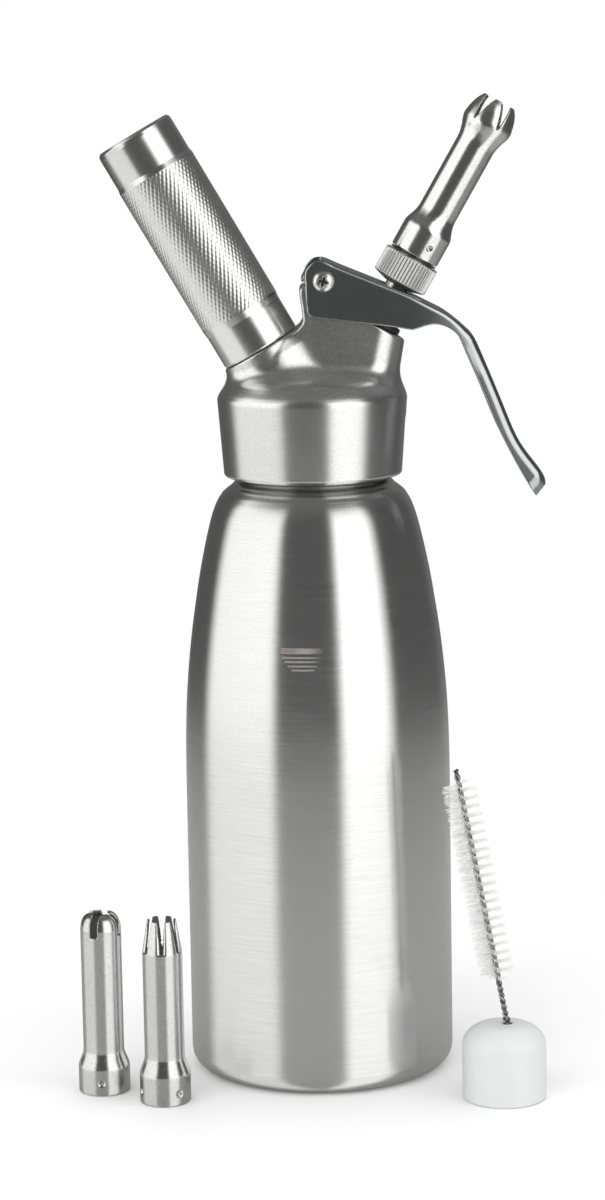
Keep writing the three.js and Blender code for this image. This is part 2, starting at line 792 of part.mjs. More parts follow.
function starTip() {
  const domeFoot = starLength - starDomeHeight;
  const across = starTubeRadius - starMouthRadius;
  const dome = [0.25, 0.5, 0.75, 1].map((part) => {
    const angle = part * 90 * degree;
    return [starMouthRadius + across * Math.cos(angle), domeFoot + starDomeHeight * Math.sin(angle)];
  });
  const outer = [
    [starBaseRadius, 0], [starBaseRadius, starBaseHeight],
    [0.5 * (starBaseRadius + starTubeRadius), 0.45 * starBaseHeight + 0.55 * starNeckHeight],
    [starTubeRadius, starNeckHeight], [starTubeRadius, domeFoot], ...dome,
  ];
  const innerDome = dome.map(([r, z]) => [r - 0.5 * tipWall, z - tipWall]);
  const inner = [
    ...outer.slice(0, 5).map(([r, z]) => [r - tipWall, z]), ...innerDome.slice(0, 3),
    [starMouthRadius, starLength - tipWall],
  ].reverse();
  const tube = turned([...outer, ...inner], tipFacets);
  return cut(tube, ...slotCuts(
    starSlots, starSlotPhase, starSlotWidth, starSlotWidth, starLength, starSlotDepth,
    2 * starBaseRadius,
  ));
}

function fingerTip() {
  const tube = tipTube([
    [tipBaseRadius, 0], [tipBaseRadius, fingerBaseHeight],
    [0.5 * (tipBaseRadius + tipTubeRadius), 0.45 * fingerBaseHeight + 0.55 * fingerNeckHeight],
    [tipTubeRadius, fingerNeckHeight], [tipTubeRadius, fingerTaperHeight],
    [fingerMouthRadius, fingerLength],
  ]);
  const apex = 0.15 * fingerSlotWidth;
  const depth = fingerLength - fingerTaperHeight;
  return cut(tube, ...slotCuts(
    fingerSlots, fingerSlotPhase, fingerSlotWidth, apex, fingerLength, depth, 2 * tipBaseRadius,
  ));
}

function tipInsert(baseRadius) {
  const outer = baseRadius - tipWall - seatGap;
  return ring(insertBore, outer, insertLift, insertLift + Math.min(insertHeight, starBaseHeight - seatGap));
}

function chargerHolder() {
  const top = holderLength;
  const threadBore = spigotRadius + holderThreadGap;
  const bore = chargerBore;
  return turned([
    [threadBore, seatGap], [holderRadius - holderEdge / 2, seatGap],
    [holderRadius, seatGap + holderEdge],
    [holderRadius, holderPlainBottom], [holderKnurlRadius, holderPlainBottom + holderEdge / 3],
    [holderKnurlRadius, top - holderPlainTop - holderEdge / 3], [holderRadius, top - holderPlainTop],
    [holderRadius, top - holderEdge], [holderRadius - holderEdge, top],
    [0, top], [0, top - holderEnd], [bore, top - holderEnd],
    [bore, holderThreadDepth], [threadBore, holderThreadDepth],
  ], holderFacets);
}

function gasCharger() {
  const low = pinTop + seatGap;
  const shoulder = low + chargerNeckHeight;
  const full = shoulder + chargerShoulderHeight;
  const top = low + chargerLength;
  const end = 0.55 * chargerRadius;
  return turned([
    [0, low], [chargerNeckRadius, low], [chargerNeckRadius, shoulder],
    [0.72 * chargerRadius, shoulder + 0.4 * chargerShoulderHeight], [chargerRadius, full],
    [chargerRadius, top - end], [0.86 * chargerRadius, top - 0.42 * end],
    [0.5 * chargerRadius, top - 0.08 * end], [0, top],
  ], tipFacets);
}

function piercingPin() {
  const low = portRecessDepth + seatGap;
  const outer = portRecessRadius - seatGap;
  return turned([
    [0, low], [outer, low], [outer, pinSeat], [pinRadius, pinSeat],
    [pinRadius, pinTop - 2 * pinRadius], [0, pinTop],
  ], smallFacets);
}

function portGasket() {
  const low = pinSeat + seatGap;
  return ring(pinRadius + seatGap, portRecessRadius - seatGap, low, low + portGasketHeight);
}

function brushCap() {
  const across = capRadius - wireTwistRadius;
  const dome = [0.3, 0.6, 0.85, 1].map((part) => {
    const angle = part * 90 * degree;
    const flat = 0.35 * across;
    return [flat + (capRadius - flat) * Math.cos(angle),
      capStraight + (capHeight - capStraight) * Math.sin(angle)];
  });
  const outer = [[capRadius, 0], [capRadius, capStraight], ...dome, [0, capHeight]];
  const inner = [[capRadius - capWall, 0], [capRadius - capWall, capStraight],
    ...dome.map(([r, z]) => [r - 0.8 * capWall, z - capWall]), [0, capHeight - capWall]].reverse();
  const shell = turned([...inner, ...outer], holderFacets);
  const hole = rod(
    wireRadius + wireTwistRadius + wireHoleGap, -wireInCap, cutOverrun, 12,
  ).rotate([0, brushLean, 0]).translate([brushExitX - capPlace[0], 0, capHeight]);
  return cut(shell, hole);
}

// Two wires twisted round each other, as one bar with a waisted section that turns.
function twistedWire(low, high) {
  const steps = Math.max(1, Math.round(((high - low) * wireStepsPerPitch) / wirePitch));
  const long = wireRadius + wireTwistRadius;
  const section = [
    [long, 0], [0.55 * long, 0.9 * wireRadius], [-0.55 * long, 0.9 * wireRadius],
    [-long, 0], [-0.55 * long, -0.9 * wireRadius], [0.55 * long, -0.9 * wireRadius],
  ];
  const count = section.length;
  const places = [];
  const corners = [];
  for (let i = 0; i <= steps; i += 1) {
    const height = low + ((high - low) * i) / steps;
    const turn = wireTurn(height);
    for (const [x, y] of section) {
      places.push(x * Math.cos(turn) - y * Math.sin(turn));
      places.push(x * Math.sin(turn) + y * Math.cos(turn), height);
    }
  }
  for (let i = 0; i < steps; i += 1) {
    for (let k = 0; k < count; k += 1) {
      const a = i * count + k;
      const b = i * count + ((k + 1) % count);
      corners.push(a, b, a + count, b, b + count, a + count);
    }
  }
  const last = steps * count;
  for (let k = 1; k < count - 1; k += 1) {
    corners.push(0, k + 1, k, last, last + k, last + k + 1);
  }
  const geometry = new THREE.BufferGeometry();
  geometry.setAttribute('position', new THREE.Float32BufferAttribute(places, 3));
  geometry.setIndex(corners);
  return solid(geometry);
}

function wireTurn(height) {
  return (2 * Math.PI * height) / wirePitch;
}

// A three-sided bristle that leaves the wires between them and runs out to a point.
function bristle(height, side) {
  const start = 0.35 * wireRadius;
  const half = bristleWidth / 2;
  const places = [
    start, -half, -half, start, half, -half, start, 0, half, bristleReach, 0, 0,
  ];
  const geometry = new THREE.BufferGeometry();
  geometry.setAttribute('position', new THREE.Float32BufferAttribute(places, 3));
  geometry.setIndex([0, 2, 1, 0, 1, 3, 1, 2, 3, 2, 0, 3]);
  geometry.rotateZ(wireTurn(height) + Math.PI / 2 + side * Math.PI).translate(0, 0, height);
  return solid(geometry);
}

function bristleSection(index) {
  const length = (bristleEnd - bristleStart) / bristleSections;
  const low = bristleStart + index * length + seatGap / 2;
  const high = bristleStart + (index + 1) * length - seatGap / 2;
  const rows = bristlesPerSection / 2;
  const margin = bristleWidth;
  const step = (high - low - 2 * margin) / (rows - 1);
  const strands = [];
  for (let row = 0; row < rows; row += 1) {
    const height = low + margin + row * step;
    strands.push(bristle(height, 0), bristle(height, 1));
  }
  return wasm.Manifold.union([
    rod(wireRadius + wireTwistRadius / 2, low, high, bristleCoreSides), ...strands,
  ]);
}

function group(...children) {
  const holder = new THREE.Group();
  for (const child of children) holder.add(child);
  return holder;
}

function standing([x, y], ...children) {
  const holder = group(...children);
  holder.position.set(x, y, 0);
  return holder;
}

const nozzleAssembly = group(
  meshOf('valve_stem', valveStem(), steel),
  meshOf('valve_bush', valveBush(), blackPlastic),
  meshOf('stem_o_ring', stemRing(), rubber),
  meshOf('valve_seal', valveSeal(), rubber),
  meshOf('return_spring', returnSpring(), steel),
  meshOf('nozzle_adapter', nozzleAdapter(), steel),
  meshOf('tip_gasket', tipGasket(), rubber),
);
nozzleAssembly.applyMatrix4(nozzleFrame.matrix);

const fittedTip = group(
  meshOf('tulip_tip', tulipTip(), polished),
  meshOf('tulip_tip_insert', tipInsert(tipBaseRadius), steel),
);
fittedTip.position.z = tipBase();
nozzleAssembly.add(fittedTip);

const portAssembly = group(
  meshOf('piercing_pin', piercingPin(), steel),
  meshOf('port_gasket', portGasket(), rubber),
  meshOf('gas_charger', gasCharger(), steel),
  meshOf('charger_holder', chargerHolder(), steel),
);
portAssembly.applyMatrix4(portFrame.matrix);

const brush = group(
  meshOf('brush_wire_foot', twistedWire(-wireInCap, bristleStart - seatGap / 2), polished),
);
for (let i = 0; i < bristleSections; i += 1) {
  brush.add(meshOf(`brush_bristles_${i + 1}`, bristleSection(i), nylon));
}
brush.add(meshOf('brush_wire_tip', twistedWire(bristleEnd + seatGap / 2, wireEnd), polished));
brush.position.set(brushExitX, capPlace[1], capHeight);
brush.rotation.y = brushLean * degree;

const dispenser = group(
  meshOf('bottle_shell', bottleShell(), steel),
  meshOf('neck_ring', neckRing(), steel),
  meshOf('head_gasket', headGasket(), rubber),
  meshOf('head_casting', headCasting(), steel),
  meshOf('pivot_sleeve', pivotSleeve(), steel),
  meshOf('lever_screw', leverScrew(), polished),
  meshOf('lever_nut', leverNut(), steel),
  meshOf('lever', lever(), polished),
  nozzleAssembly,
  portAssembly,
  standing(
    starTipPlace,
    meshOf('star_tip', starTip(), polished),
    meshOf('star_tip_insert', tipInsert(starBaseRadius), steel),
  ),
  standing(
    fingerTipPlace,
    meshOf('finger_tip', fingerTip(), polished),
    meshOf('finger_tip_insert', tipInsert(tipBaseRadius), steel),
  ),
  standing(capPlace, meshOf('brush_cap', brushCap(), whitePlastic)),
  brush,
);

export default dispenser;
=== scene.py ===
# %% [markdown]
# # A cream whipping dispenser in brushed steel
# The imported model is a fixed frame: every piece below is built round one of its nodes, in
# metres, and rides on the body that carries the node. Most of what shows is bare metal, so the
# lesson is about exact shapes, fine surface detail and giving metal something to reflect.

# %% Load the frame
from math import cos, pi, radians, sin

import bpy
import numpy as np
from mathutils import Matrix, Vector


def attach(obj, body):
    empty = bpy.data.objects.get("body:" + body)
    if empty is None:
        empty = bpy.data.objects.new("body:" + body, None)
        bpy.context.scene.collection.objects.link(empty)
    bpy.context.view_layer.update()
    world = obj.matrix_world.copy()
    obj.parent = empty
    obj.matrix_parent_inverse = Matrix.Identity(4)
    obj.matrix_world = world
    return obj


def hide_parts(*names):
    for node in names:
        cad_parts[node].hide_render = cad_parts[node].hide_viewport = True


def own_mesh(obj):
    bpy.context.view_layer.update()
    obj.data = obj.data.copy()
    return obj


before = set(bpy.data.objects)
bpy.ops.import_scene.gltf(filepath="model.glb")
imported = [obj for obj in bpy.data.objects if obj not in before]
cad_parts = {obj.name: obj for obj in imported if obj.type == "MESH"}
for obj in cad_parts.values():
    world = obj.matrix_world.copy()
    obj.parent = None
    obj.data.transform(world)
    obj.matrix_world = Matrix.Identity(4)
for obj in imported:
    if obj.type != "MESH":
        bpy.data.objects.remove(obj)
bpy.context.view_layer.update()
MM = 0.001

# %% [markdown]
# ## The camera
# A long lens from more than a metre away, level with the top of the object, looks down nine
# degrees and is rolled by one. The roll is why the bottle seems to lean a little to the left.

# %% Place the camera
CAMERA_PLACE = (-3.415, -1116.7, 349.9)
CAMERA_PITCH = 9.166
CAMERA_YAW = -0.059
CAMERA_ROLL = -0.991
LENS = 94.86
SENSOR = 36


def link(thing):
    bpy.context.scene.collection.objects.link(thing)


def make_camera():
    pitch, yaw, roll = (radians(a) for a in (CAMERA_PITCH, CAMERA_YAW, CAMERA_ROLL))
    forward = Vector((sin(yaw) * cos(pitch), cos(yaw) * cos(pitch), -sin(pitch)))
    level = forward.cross(Vector((0, 0, 1))).normalized()
    upright = level.cross(forward)
    right = level * cos(roll) + upright * sin(roll)
    up = upright * cos(roll) - level * sin(roll)
    data = bpy.data.cameras.new("camera")
    data.lens = LENS
    data.sensor_width = SENSOR
    data.clip_end = 20
    camera = bpy.data.objects.new("camera", data)
    turn = Matrix((right, up, -forward)).transposed().to_4x4()
    camera.matrix_world = Matrix.Translation(Vector(CAMERA_PLACE) * MM) @ turn
    link(camera)
    bpy.context.scene.camera = camera


make_camera()

# %% [markdown]
# ## Shader maths as Python
# A `Level` is a number that varies over a surface: it wraps a socket, and Python's operators
# on it add Math nodes. A `Tree` adds every other node through one method, settings first.
# The same two classes write the materials, the world and the geometry node groups.


# %% Two small classes for node trees
def grey(tone):
    return (tone, tone, tone, 1)


class Level:
    def __init__(self, tree, socket):
        self.tree = tree
        self.socket = socket

    def __add__(self, other):
        return self.tree.math("ADD", self, other)

    def __sub__(self, other):
        return self.tree.math("SUBTRACT", self, other)

    def __rsub__(self, other):
        return self.tree.math("SUBTRACT", other, self)

    def __mul__(self, other):
        return self.tree.math("MULTIPLY", self, other)

    def __truediv__(self, other):
        return self.tree.math("DIVIDE", self, other)

    def __lt__(self, other):
        return self.tree.math("LESS_THAN", self, other)

    def __gt__(self, other):
        return self.tree.math("GREATER_THAN", self, other)

    __radd__ = __add__
    __rmul__ = __mul__

    def smooth(self, low, high):
        ranged = self.tree.node(
            "ShaderNodeMapRange", {"interpolation_type": "SMOOTHSTEP"},
            {"Value": self, "From Min": low, "From Max": high},
        )
        return Level(self.tree, ranged.outputs["Result"])


class Tree:
    def __init__(self, group):
        self.group = group

    def node(self, kind, settings=None, inputs=None):
        node = self.group.nodes.new(kind)
        for name, value in (settings or {}).items():
            if name == "stops":
                self.set_stops(node.color_ramp, value)
            else:
                setattr(node, name, value)
        for name, value in (inputs or {}).items():
            self.feed(node.inputs[name], value)
        return node

    def set_stops(self, ramp, stops):
        while len(ramp.elements) < len(stops):
            ramp.elements.new(0.5)
        for element, (place, tone) in zip(ramp.elements, stops):
            element.position = place
            element.color = grey(tone)

    def feed(self, socket, value):
        if isinstance(value, Level):
            value = value.socket
        if isinstance(value, bpy.types.Node):
            value = value.outputs[0]
        if isinstance(value, bpy.types.NodeSocket):
            self.group.links.new(value, socket)
        else:
            socket.default_value = value

    def math(self, operation, *values):
        node = self.node("ShaderNodeMath", {"operation": operation}, dict(enumerate(values)))
        return Level(self, node.outputs[0])

    def split(self, vector):
        node = self.node("ShaderNodeSeparateXYZ", None, {"Vector": vector})
        return [Level(self, node.outputs[k]) for k in range(3)]

    def blend(self, share, first, second):
        node = self.node("ShaderNodeMix", {"data_type": "RGBA"})
        self.feed(node.inputs["Factor"], share)
        self.feed(node.inputs[6], first)
        self.feed(node.inputs[7], second)
        return node.outputs[2]

    def combine(self, x=0.0, y=0.0, z=0.0):
        return self.node("ShaderNodeCombineXYZ", None, {"X": x, "Y": y, "Z": z})

    def radius(self, x, y):
        return self.math("SQRT", x * x + y * y)

    def here(self):
        return self.node("ShaderNodeTexCoord").outputs["Object"]

    def noise(self, scale, detail, vector=None, roughness=0.5):
        node = self.node("ShaderNodeTexNoise", None, {
            "Vector": self.here() if vector is None else vector,
            "Scale": scale, "Detail": detail, "Roughness": roughness,
        })
        return Level(self, node.outputs[0])

    def show(self, shader, kind="ShaderNodeOutputMaterial"):
        self.feed(self.node(kind).inputs["Surface"], shader)


def new_material(name):
    material = bpy.data.materials.new(name)
    material.use_nodes = True
    material.node_tree.nodes.clear()
    return material, Tree(material.node_tree)


# %% [markdown]
# ## The studio
# Polished and brushed metal shows what stands round it. The world is a ring of tall white and
# dark screens: bright ones to the left and to the right of the camera, a dark gap where the
# camera stands, dark flags at the sides. Diffuse surfaces see one plain level of light, and
# the camera sees white.

# %% Build the world and the lamps
SCREENS = [
    (-180, 0.13), (-150, 0.09), (-118, 0.09), (-106, 1.2), (-42, 1.3), (-34, 0.09), (17, 0.085),
    (25, 1.6), (62, 1.5), (74, 0.08), (136, 0.09), (156, 0.15), (180, 0.13),
]
LOW_SCREENS = [
    (-180, 0.13), (-150, 0.09), (-118, 0.09), (-106, 0.78), (-42, 0.78), (-34, 0.095), (17, 0.09),
    (25, 1.2), (62, 1.15), (74, 0.08), (136, 0.09), (156, 0.15), (180, 0.13),
]
LOW_EDGE = (-0.24, -0.1)
CEILING = 0.14
CEILING_EDGE = (0.5, 0.85)
PLAIN_LIGHT = 1.0
LAMP_AIM = Vector((0, 0, 0.12))


def screen_ring(tree, turn, screens):
    stops = [((angle + 180) / 360, tone / 2) for angle, tone in screens]
    ramp = tree.node("ShaderNodeValToRGB", {"stops": stops}, {"Fac": turn})
    return Level(tree, ramp.outputs["Color"]) * 2


def make_world():
    world = bpy.data.worlds.new("studio")
    world.use_nodes = True
    world.node_tree.nodes.clear()
    tree = Tree(world.node_tree)
    x, y, z = tree.split(tree.node("ShaderNodeTexCoord").outputs["Generated"])
    turn = tree.math("ARCTAN2", x, -1 * y) / (2 * pi) + 0.5
    lift = z.smooth(*LOW_EDGE)
    screens = screen_ring(tree, turn, SCREENS) * lift
    screens = screens + screen_ring(tree, turn, LOW_SCREENS) * (1 - lift)
    high = z.smooth(*CEILING_EDGE)
    seen = screens * (1 - high) + high * CEILING
    path = tree.node("ShaderNodeLightPath")
    glossy = Level(tree, path.outputs["Is Glossy Ray"])
    camera = Level(tree, path.outputs["Is Camera Ray"])
    plain = camera + (1 - camera) * PLAIN_LIGHT
    strength = glossy * seen + (1 - glossy) * plain
    light = tree.node("ShaderNodeBackground", None, {"Color": grey(1), "Strength": strength})
    tree.show(light, "ShaderNodeOutputWorld")
    bpy.context.scene.world = world


def make_lamp(name, place, size, watts):
    data = bpy.data.lights.new(name, "AREA")
    data.size = size
    data.energy = watts
    lamp = bpy.data.objects.new(name, data)
    lamp.location = place
    aim = LAMP_AIM - Vector(place)
    lamp.rotation_euler = aim.to_track_quat("-Z", "Y").to_euler()
    lamp.visible_glossy = False
    link(lamp)


make_world()
make_lamp("key_lamp", (-0.9, -1.2, 1.5), 1.2, 7)
make_lamp("fill_lamp", (1.2, -0.6, 1.1), 1.0, 3)
bpy.context.scene.view_settings.view_transform = "Standard"

# %% [markdown]
# ## The floor
# A white sweep. Metal sees it only near the object, where it lightens the foot of the bottle,
# because a real table ends and the dark screens begin behind its edge.

# %% Lay the floor
FLOOR_HALF = 6.0
FLOOR_TONE = 0.97
FLOOR_SHARE = 0.33
FLOOR_SEEN_NEAR = 0.28
FLOOR_SEEN_FAR = 1.05
SHADOW_NEAR = 0.12
SHADOW_FAR = 0.3


def make_floor():
    mesh = bpy.data.meshes.new("floor")
    signs = ((-1, -1), (1, -1), (1, 1), (-1, 1))
    mesh.from_pydata([(sx * FLOOR_HALF, sy * FLOOR_HALF, 0) for sx, sy in signs], [], [(0, 1, 2, 3)])
    material, tree = new_material("white_sweep")
    x, y, _ = tree.split(tree.here())
    far = tree.radius(x, y)
    path = tree.node("ShaderNodeLightPath")
    reach = 1 - far.smooth(FLOOR_SEEN_NEAR, FLOOR_SEEN_FAR)
    hidden = Level(tree, path.outputs["Is Glossy Ray"]) * (1 - reach * FLOOR_SHARE)
    bright = Level(tree, path.outputs["Is Camera Ray"]) * far.smooth(SHADOW_NEAR, SHADOW_FAR)
    white = tree.node("ShaderNodeBsdfDiffuse", None, {"Color": grey(FLOOR_TONE)})
    glow = tree.node("ShaderNodeEmission", None, {"Color": grey(1), "Strength": 1.0})
    clear = tree.node("ShaderNodeBsdfTransparent")
    lit = tree.node("ShaderNodeMixShader", None, {0: bright, 1: white, 2: glow})
    tree.show(tree.node("ShaderNodeMixShader", None, {0: hidden, 1: lit, 2: clear}))
    mesh.materials.append(material)
    floor = bpy.data.objects.new("floor", mesh)
    link(floor)


make_floor()

# %% [markdown]
# ## Turned pieces
# Plain turned pieces come from a closed profile that is spun round Z. A corner with a rounding
# gets a small arc, and a guard loop on each side of it, so that a long straight wall stays
# straight in a reflection. In the lists below a point is (radius, height) or (radius, height,
# rounding), in millimetres.

# %% Spin a profile
GUARD = 0.25
ARC_STEPS = 5
LONGEST_RUN_SHARE = 0.48
ON_AXIS = 1e-6


def rounded(points):
    spots = [Vector(point[:2]) for point in points]
    line = []
    for i, point in enumerate(points):
        rounding = point[2] if len(point) > 2 else 0
        if not rounding:
            line.append(spots[i])
            continue
        back = spots[i - 1] - spots[i]
        ahead = spots[(i + 1) % len(points)] - spots[i]
        half = back.angle(ahead) / 2
        longest = LONGEST_RUN_SHARE * min(back.length, ahead.length)
        run = min(rounding / np.tan(half), longest)
        back, ahead = back.normalized(), ahead.normalized()
        centre = spots[i] + (back + ahead).normalized() * (run / cos(half))
        first = spots[i] + back * run - centre
        last = spots[i] + ahead * run - centre
        sweep = first.angle(last)
        guard = min(GUARD, 0.5 * run)
        line.append(centre + first + back * guard)
        for k in range(ARC_STEPS + 1):
            share = k / ARC_STEPS
            arm = first * sin((1 - share) * sweep) + last * sin(share * sweep)
            line.append(centre + arm / sin(sweep))
        line.append(centre + last + ahead * guard)
    return line


def spin(points, around=96):
    verts, rows = [], []
    for spot in rounded(points):
        if spot.x < ON_AXIS:
            rows.append([len(verts)] * around)
            verts.append((0, 0, spot.y))
            continue
        rows.append(list(range(len(verts), len(verts) + around)))
        for k in range(around):
            angle = 2 * pi * k / around
            verts.append((spot.x * cos(angle), spot.x * sin(angle), spot.y))
    faces = []
    for low, high in zip(rows, rows[1:] + rows[:1]):
        for k in range(around):
            after = (k + 1) % around
            ring = [low[k], low[after], high[after], high[k]]
            face = [v for n, v in enumerate(ring) if v != ring[n - 1]]
            if len(face) > 2:
                faces.append(face)
    return verts, faces


def mesh_of(name, verts, faces, place=Matrix()):
    mesh = bpy.data.meshes.new(name)
    mesh.from_pydata([tuple(v) for v in verts], [], faces)
    mesh.transform(place @ Matrix.Scale(MM, 4))
    mesh.validate()
    mesh.update()
    return mesh


# %% [markdown]
# ## From a mesh to a finished piece
# Each finished mesh becomes one object that sits at the origin. It is shaded smooth, with sharp
# edges only where faces meet at more than forty degrees, and it says which body it rides on
# and which imported nodes it stands for.

# %% Finish a piece
def finish_piece(mesh, material, slot, body, *nodes, crease=40):
    mesh.materials.clear()
    mesh.materials.append(material)
    mesh.shade_smooth()
    if crease:
        mesh.set_sharp_from_angle(angle=radians(crease))
    piece = bpy.data.objects.new(mesh.name, mesh)
    link(piece)
    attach(piece, body)
    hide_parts(*nodes)
    print(mesh.name, sum(len(face.vertices) - 2 for face in mesh.polygons), "triangles")
    return piece


def turned_piece(name, points, material, slot, body, *nodes, place=Matrix(), around=96):
    verts, faces = spin(points, around)
    mesh = mesh_of(name, verts, faces, place)
    return finish_piece(face_out(mesh), material, slot, body, *nodes)


def face_out(mesh):
    mesh.calc_loop_triangles()
    corners = np.array([v.co for v in mesh.vertices])
    trios = np.array([t.vertices for t in mesh.loop_triangles])
    a, b, c = (corners[trios[:, k]] for k in range(3))
    if np.einsum("ij,ij->", a, np.cross(b, c)) < 0:
        mesh.flip_normals()
    return mesh


def leaning(x, z, lean):
    return Matrix.Translation((x * MM, 0, z * MM)) @ Matrix.Rotation(radians(lean), 4, "Y")


def standing(x, y):
    return Matrix.Translation((x * MM, y * MM, 0))


PORT = leaning(-17.6, 260.2, -30)
NOZZLE = leaning(23, 268.05, 30)
STAR_PLACE = standing(-77.8, -33.2)
FINGER_PLACE = standing(-55.6, -46.8)
PIVOT = (4.55, 283.95)
SCREW = leaning(PIVOT[0], PIVOT[1], 0) @ Matrix.Rotation(-pi / 2, 4, "X")

# %% [markdown]
# ## Cast and stamped shapes
# The head, the lever and the tips flow into each other, or have slots with soft edges. They are
# written as fields: a formula that is negative inside the metal and positive outside. Where two
# fields meet, a smooth minimum makes the fillet. The surface is then found cell by cell, each
# vertex is pulled onto it, and the formula's own slope gives the normals for the reflections.

# %% Formulas for fields
def radial(x, y):
    return np.sqrt(x * x + y * y)


def eased(value, low, high):
    share = np.clip((value - low) / (high - low), 0, 1)
    return share * share * (3 - 2 * share)


def least(a, b, fillet=1e-4):
    near = np.maximum(fillet - np.abs(a - b), 0) / fillet
    return np.minimum(a, b) - near * near * fillet / 4


def most(a, b, fillet=1e-4):
    return -least(-a, -b, fillet)


def without(body, tool, fillet=1e-4):
    return most(body, -tool, fillet)


def outline(points):
    corners = [tuple(point[:2]) for point in points]

    def distance(u, v):
        nearest = 1e12
        inside = False
        for (ax, ay), (bx, by) in zip(corners, corners[1:] + corners[:1]):
            ex, ey = bx - ax, by - ay
            length = ex * ex + ey * ey
            if length < 1e-12:
                continue
            share = np.clip(((u - ax) * ex + (v - ay) * ey) / length, 0, 1)
            nearest = np.minimum(nearest, (u - ax - ex * share) ** 2 + (v - ay - ey * share) ** 2)
            if abs(ey) > 1e-9:
                inside = inside ^ (((ay > v) != (by > v)) & (u < ax + ex * (v - ay) / ey))
        return np.where(inside, -1, 1) * np.sqrt(nearest)

    return distance


def flowing(points, steps=6):
    spots = [np.array(p, float) for p in points]
    spots = [2 * spots[0] - spots[1], *spots, 2 * spots[-1] - spots[-2]]
    line = []
    for a, b, c, d in zip(spots, spots[1:], spots[2:], spots[3:]):
        for k in range(steps):
            t = k / steps
            line.append(tuple(0.5 * (
                2 * b + (c - a) * t + (2 * a - 5 * b + 4 * c - d) * t * t
                + (3 * b - a - 3 * c + d) * t ** 3
            )))
    return line + [tuple(spots[-2])]


def softened(points):
    line = [np.array(p, float) for p in points]
    for _ in range(2):
        cut = []
        for a, b in zip(line, line[1:] + line[:1]):
            cut += [0.75 * a + 0.25 * b, 0.25 * a + 0.75 * b]
        line = cut
    return [tuple(p) for p in line]


def along(x, y, z, place):
    inverse = place.inverted()
    move = np.array(inverse.translation) / MM
    return [inverse[k][0] * x + inverse[k][1] * y + inverse[k][2] * z + move[k] for k in range(3)]


# %% Find a field's surface
CORNERS = [(i, j, k) for i in (0, 1) for j in (0, 1) for k in (0, 1)]
SLOPE_STEP = 0.04
SHADE_STEP = 0.3
PULLS = 4
PULL_SHARE = 0.3
LEAST_STEEPNESS = 0.05


def slope(field, spots, h=SLOPE_STEP):
    x, y, z = spots.T
    return np.stack([
        field(x + h, y, z) - field(x - h, y, z),
        field(x, y + h, z) - field(x, y - h, z),
        field(x, y, z + h) - field(x, y, z - h),
    ], 1) / (2 * h)


def skin(name, field, low, high, cell, place=Matrix()):
    low = np.array(low, float)
    counts = np.ceil((np.array(high) - low) / cell).astype(int) + 1
    axes = [low[k] + cell * np.arange(counts[k]) for k in range(3)]
    values = np.array(np.broadcast_to(field(*np.meshgrid(*axes, indexing="ij", sparse=True)), counts))
    inside = values < 0
    shape = counts - 1
    corner = [inside[i:i + shape[0], j:j + shape[1], k:k + shape[2]] for i, j, k in CORNERS]
    filled = sum(c.astype(np.int8) for c in corner)
    crossed = (filled > 0) & (filled < 8)
    index = np.full(shape, -1)
    index[crossed] = np.arange(crossed.sum())
    cells = np.argwhere(crossed)
    at = [values[tuple((cells + c).T)] for c in CORNERS]
    total = np.zeros((len(cells), 3))
    hits = np.zeros(len(cells))
    for a in range(8):
        for b in range(a + 1, 8):
            step = np.array(CORNERS[b]) - CORNERS[a]
            if np.abs(step).sum() != 1:
                continue
            meets = (at[a] < 0) != (at[b] < 0)
            share = np.where(meets, at[a] / np.where(meets, at[a] - at[b], 1), 0)
            total += meets[:, None] * (np.array(CORNERS[a]) + share[:, None] * step)
            hits += meets
    spots = low + cell * (cells + total / hits[:, None])
    for _ in range(PULLS):
        rise = slope(field, spots)
        steep = np.maximum((rise * rise).sum(1), LEAST_STEEPNESS)
        move = rise * (field(*spots.T) / steep)[:, None]
        far = np.maximum(np.linalg.norm(move, axis=1), 1e-9)
        spots -= move * np.minimum(1, PULL_SHARE * cell / far)[:, None]
    quads = []
    for axis in range(3):
        u, v = (axis + 1) % 3, (axis + 2) % 3
        here = [slice(1, n) for n in shape]
        there = list(here)
        here[axis], there[axis] = slice(0, shape[axis]), slice(1, shape[axis] + 1)
        a, b = inside[tuple(here)], inside[tuple(there)]
        nodes = np.argwhere(a != b)
        start = np.array([0 if k == axis else 1 for k in range(3)])
        outward = a[tuple(nodes.T)]
        nodes = nodes + start
        ring = []
        for du, dv in ((1, 1), (0, 1), (0, 0), (1, 0)):
            back = np.zeros(3, int)
            back[u], back[v] = du, dv
            ring.append(index[tuple((nodes - back).T)])
        quad = np.stack(ring, 1)
        quads.append(np.where(outward[:, None], quad, quad[:, ::-1]))
    quads = np.concatenate(quads)
    mesh = mesh_of(name, spots, quads.tolist(), place)
    turn = np.array(place.to_3x3().normalized())
    rise = slope(field, spots, SHADE_STEP * cell) @ turn.T
    rise /= np.maximum(np.linalg.norm(rise, axis=1), 1e-9)[:, None]
    return mesh, rise


def skinned_piece(name, field, low, high, cell, material, slot, body, *nodes, place=Matrix()):
    mesh, normals = skin(name, field, low, high, cell, place)
    piece = finish_piece(mesh, material, slot, body, *nodes, crease=0)
    mesh.normals_split_custom_set_from_vertices(normals.tolist())
    return piece

# %% [markdown]
# ## Metal finishes
# One function makes all the metals. Turned and brushed pieces carry fine rings round their own
# axis, so the function takes the piece's place and measures along that axis. Between the two
# heights of `blasted`, a fine even grain takes the place of the rings and the metal is rougher.
# A `mark` darkens a part of the surface. Uniform values sit on the sockets; rings and grain
# feed a Bump node, the colour and the roughness.

